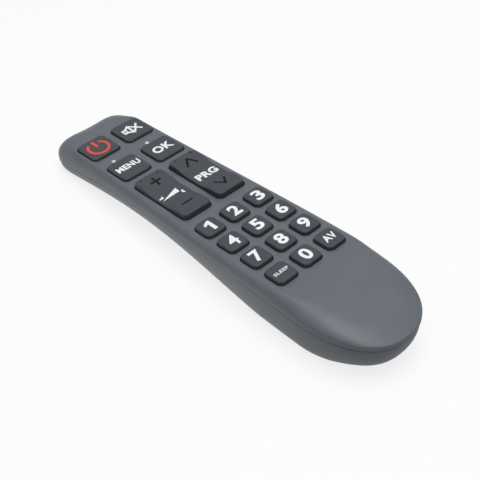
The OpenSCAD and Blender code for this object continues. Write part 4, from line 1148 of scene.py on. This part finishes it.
# %% Board lacquer
board_lacquer = bpy.data.materials.new("board_lacquer")
board_lacquer.use_nodes = True
board_lacquer.node_tree.nodes.clear()
steps = Steps(board_lacquer.node_tree)
place = steps.add("ShaderNodeTexCoord").outputs["Object"]
tracks = steps.add("ShaderNodeTexVoronoi", {"Vector": place, "Scale": 320.0},
                   feature="DISTANCE_TO_EDGE", distance="EUCLIDEAN").outputs["Distance"]
copper = steps.range(tracks, 0.08, 0.12, 1.0, 0.0)
green = steps.add("ShaderNodeMix", {0: copper, 6: (0.008, 0.075, 0.028, 1), 7: (0.03, 0.16, 0.06, 1)},
                  data_type="RGBA").outputs[2]
weave = steps.add("ShaderNodeTexNoise", {"Vector": place, "Scale": 2200.0, "Detail": 2.0}).outputs["Fac"]
relief = steps.add("ShaderNodeBump", {"Strength": 0.3, "Distance": 0.00005, "Height": copper})
shader = steps.add("ShaderNodeBsdfPrincipled", {
    "Base Color": green, "Roughness": steps.range(weave, 0.3, 0.7, 0.25, 0.4),
    "Normal": relief.outputs["Normal"]})
steps.add("ShaderNodeOutputMaterial", {"Surface": shader.outputs[0]})

# %% Sleeves of the cells


def cell_sleeve(name, flat_end, length):
    """A cell's skin along the part's Y: bare metal at both ends, a dark sleeve and a pale band."""
    material = bpy.data.materials.new(name)
    material.use_nodes = True
    material.node_tree.nodes.clear()
    steps = Steps(material.node_tree)
    place = steps.add("ShaderNodeTexCoord").outputs["Object"]
    along = steps.add("ShaderNodeSeparateXYZ", {0: place}).outputs["Y"]
    t = steps.range(along, flat_end * MM, (flat_end + length) * MM, 0.0, 1.0)
    band = steps.sum("GREATER_THAN", t, 0.74)
    bare = steps.sum("MAXIMUM", steps.sum("GREATER_THAN", t, 0.965), steps.sum("LESS_THAN", t, 0.012))
    ink = steps.add("ShaderNodeMix", {0: band, 6: (0.035, 0.06, 0.11, 1), 7: (0.55, 0.4, 0.2, 1)},
                    data_type="RGBA").outputs[2]
    colour = steps.add("ShaderNodeMix", {0: bare, 6: ink, 7: (0.6, 0.6, 0.62, 1)},
                       data_type="RGBA").outputs[2]
    scuffs = steps.add("ShaderNodeTexNoise", {"Vector": place, "Scale": 420.0,
                                              "Detail": 4.0}).outputs["Fac"]
    shader = steps.add("ShaderNodeBsdfPrincipled", {
        "Base Color": colour, "Metallic": bare, "Roughness": steps.range(scuffs, 0.35, 0.7, 0.2, 0.42)})
    steps.add("ShaderNodeOutputMaterial", {"Surface": shader.outputs[0]})
    return material


# %% Finishes of the pieces inside
resonator_lacquer = moulded("resonator_lacquer", (0.03, 0.07, 0.32), (0.05, 0.1, 0.38), (0.15, 0.28),
                            1500.0, 0.2, patches=500.0)


def dress(material, *nodes):
    """Gives solids of the construction a finish."""
    for node in nodes:
        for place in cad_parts[node].material_slots:
            place.material = material


dress(mat_rubber, "key_mat")
dress(board_lacquer, "circuit_board")
dress(lens_plastic, "indicator_led_left", "indicator_led_right")
dress(chip_plastic, "controller_chip", "capacitor", "driver_transistor", "chip_resistors")
dress(resonator_lacquer, "resonator")
dress(bright_metal, "board_screws", "case_screw", "contact_bridge", "contact_negative", "contact_positive")
dress(cell_sleeve("cell_sleeve_left", BAY_TAIL, CELL_L), "battery_left")
dress(cell_sleeve("cell_sleeve_right", BAY_HEAD, -CELL_L), "battery_right")
print("materials:", [m.name for m in bpy.data.materials])

# %% [markdown]
# ## Floor and sizes
# The floor is plain white paper. The camera sees a part of it as plain white, as in a catalogue
# picture, and the rest shows the light and the remote's soft shadow. The paper also glows: it
# gives out painted light that lights the remote from below, stronger beside its middle and head
# than in front of its tail.

# %% Floor and sizes
floor_mesh = bpy.data.meshes.new("floor")
floor_mesh.from_pydata([(-3, -3, 0), (3, -3, 0), (3, 3, 0), (-3, 3, 0)], [], [(0, 1, 2, 3)])
floor = bpy.data.objects.new("floor", floor_mesh)
scene.collection.objects.link(floor)
floor_paint = bpy.data.materials.new("floor")
floor_paint.use_nodes = True
floor_paint.node_tree.nodes.clear()
steps = Steps(floor_paint.node_tree)
paper = steps.add("ShaderNodeBsdfPrincipled", {"Base Color": (0.9, 0.9, 0.905, 1), "Roughness": 0.7})
seen = steps.add("ShaderNodeLightPath").outputs["Is Camera Ray"]
spot = steps.add("ShaderNodeSeparateXYZ", {0: steps.add("ShaderNodeTexCoord").outputs["Object"]})
# painted light: the strength of the floor's glow for all light but the camera's, stronger beside the
# middle and head than in front of the tail
painted_light_pool = steps.range(spot.outputs["Y"], -0.1, 0.0, 0.65, 1.1, smooth=True)
glow = steps.add("ShaderNodeEmission", {"Color": (1, 1, 1, 1),
                                        "Strength": steps.range(seen, 0.0, 1.0, painted_light_pool, 1.0)})
# four fifths of the floor is this glow, so the floor lights the remote with painted light
shown = steps.add("ShaderNodeMixShader", {0: 0.8, 1: paper.outputs[0], 2: glow.outputs[0]})
steps.add("ShaderNodeOutputMaterial", {"Surface": shown.outputs[0]})
floor_mesh.materials.append(floor_paint)
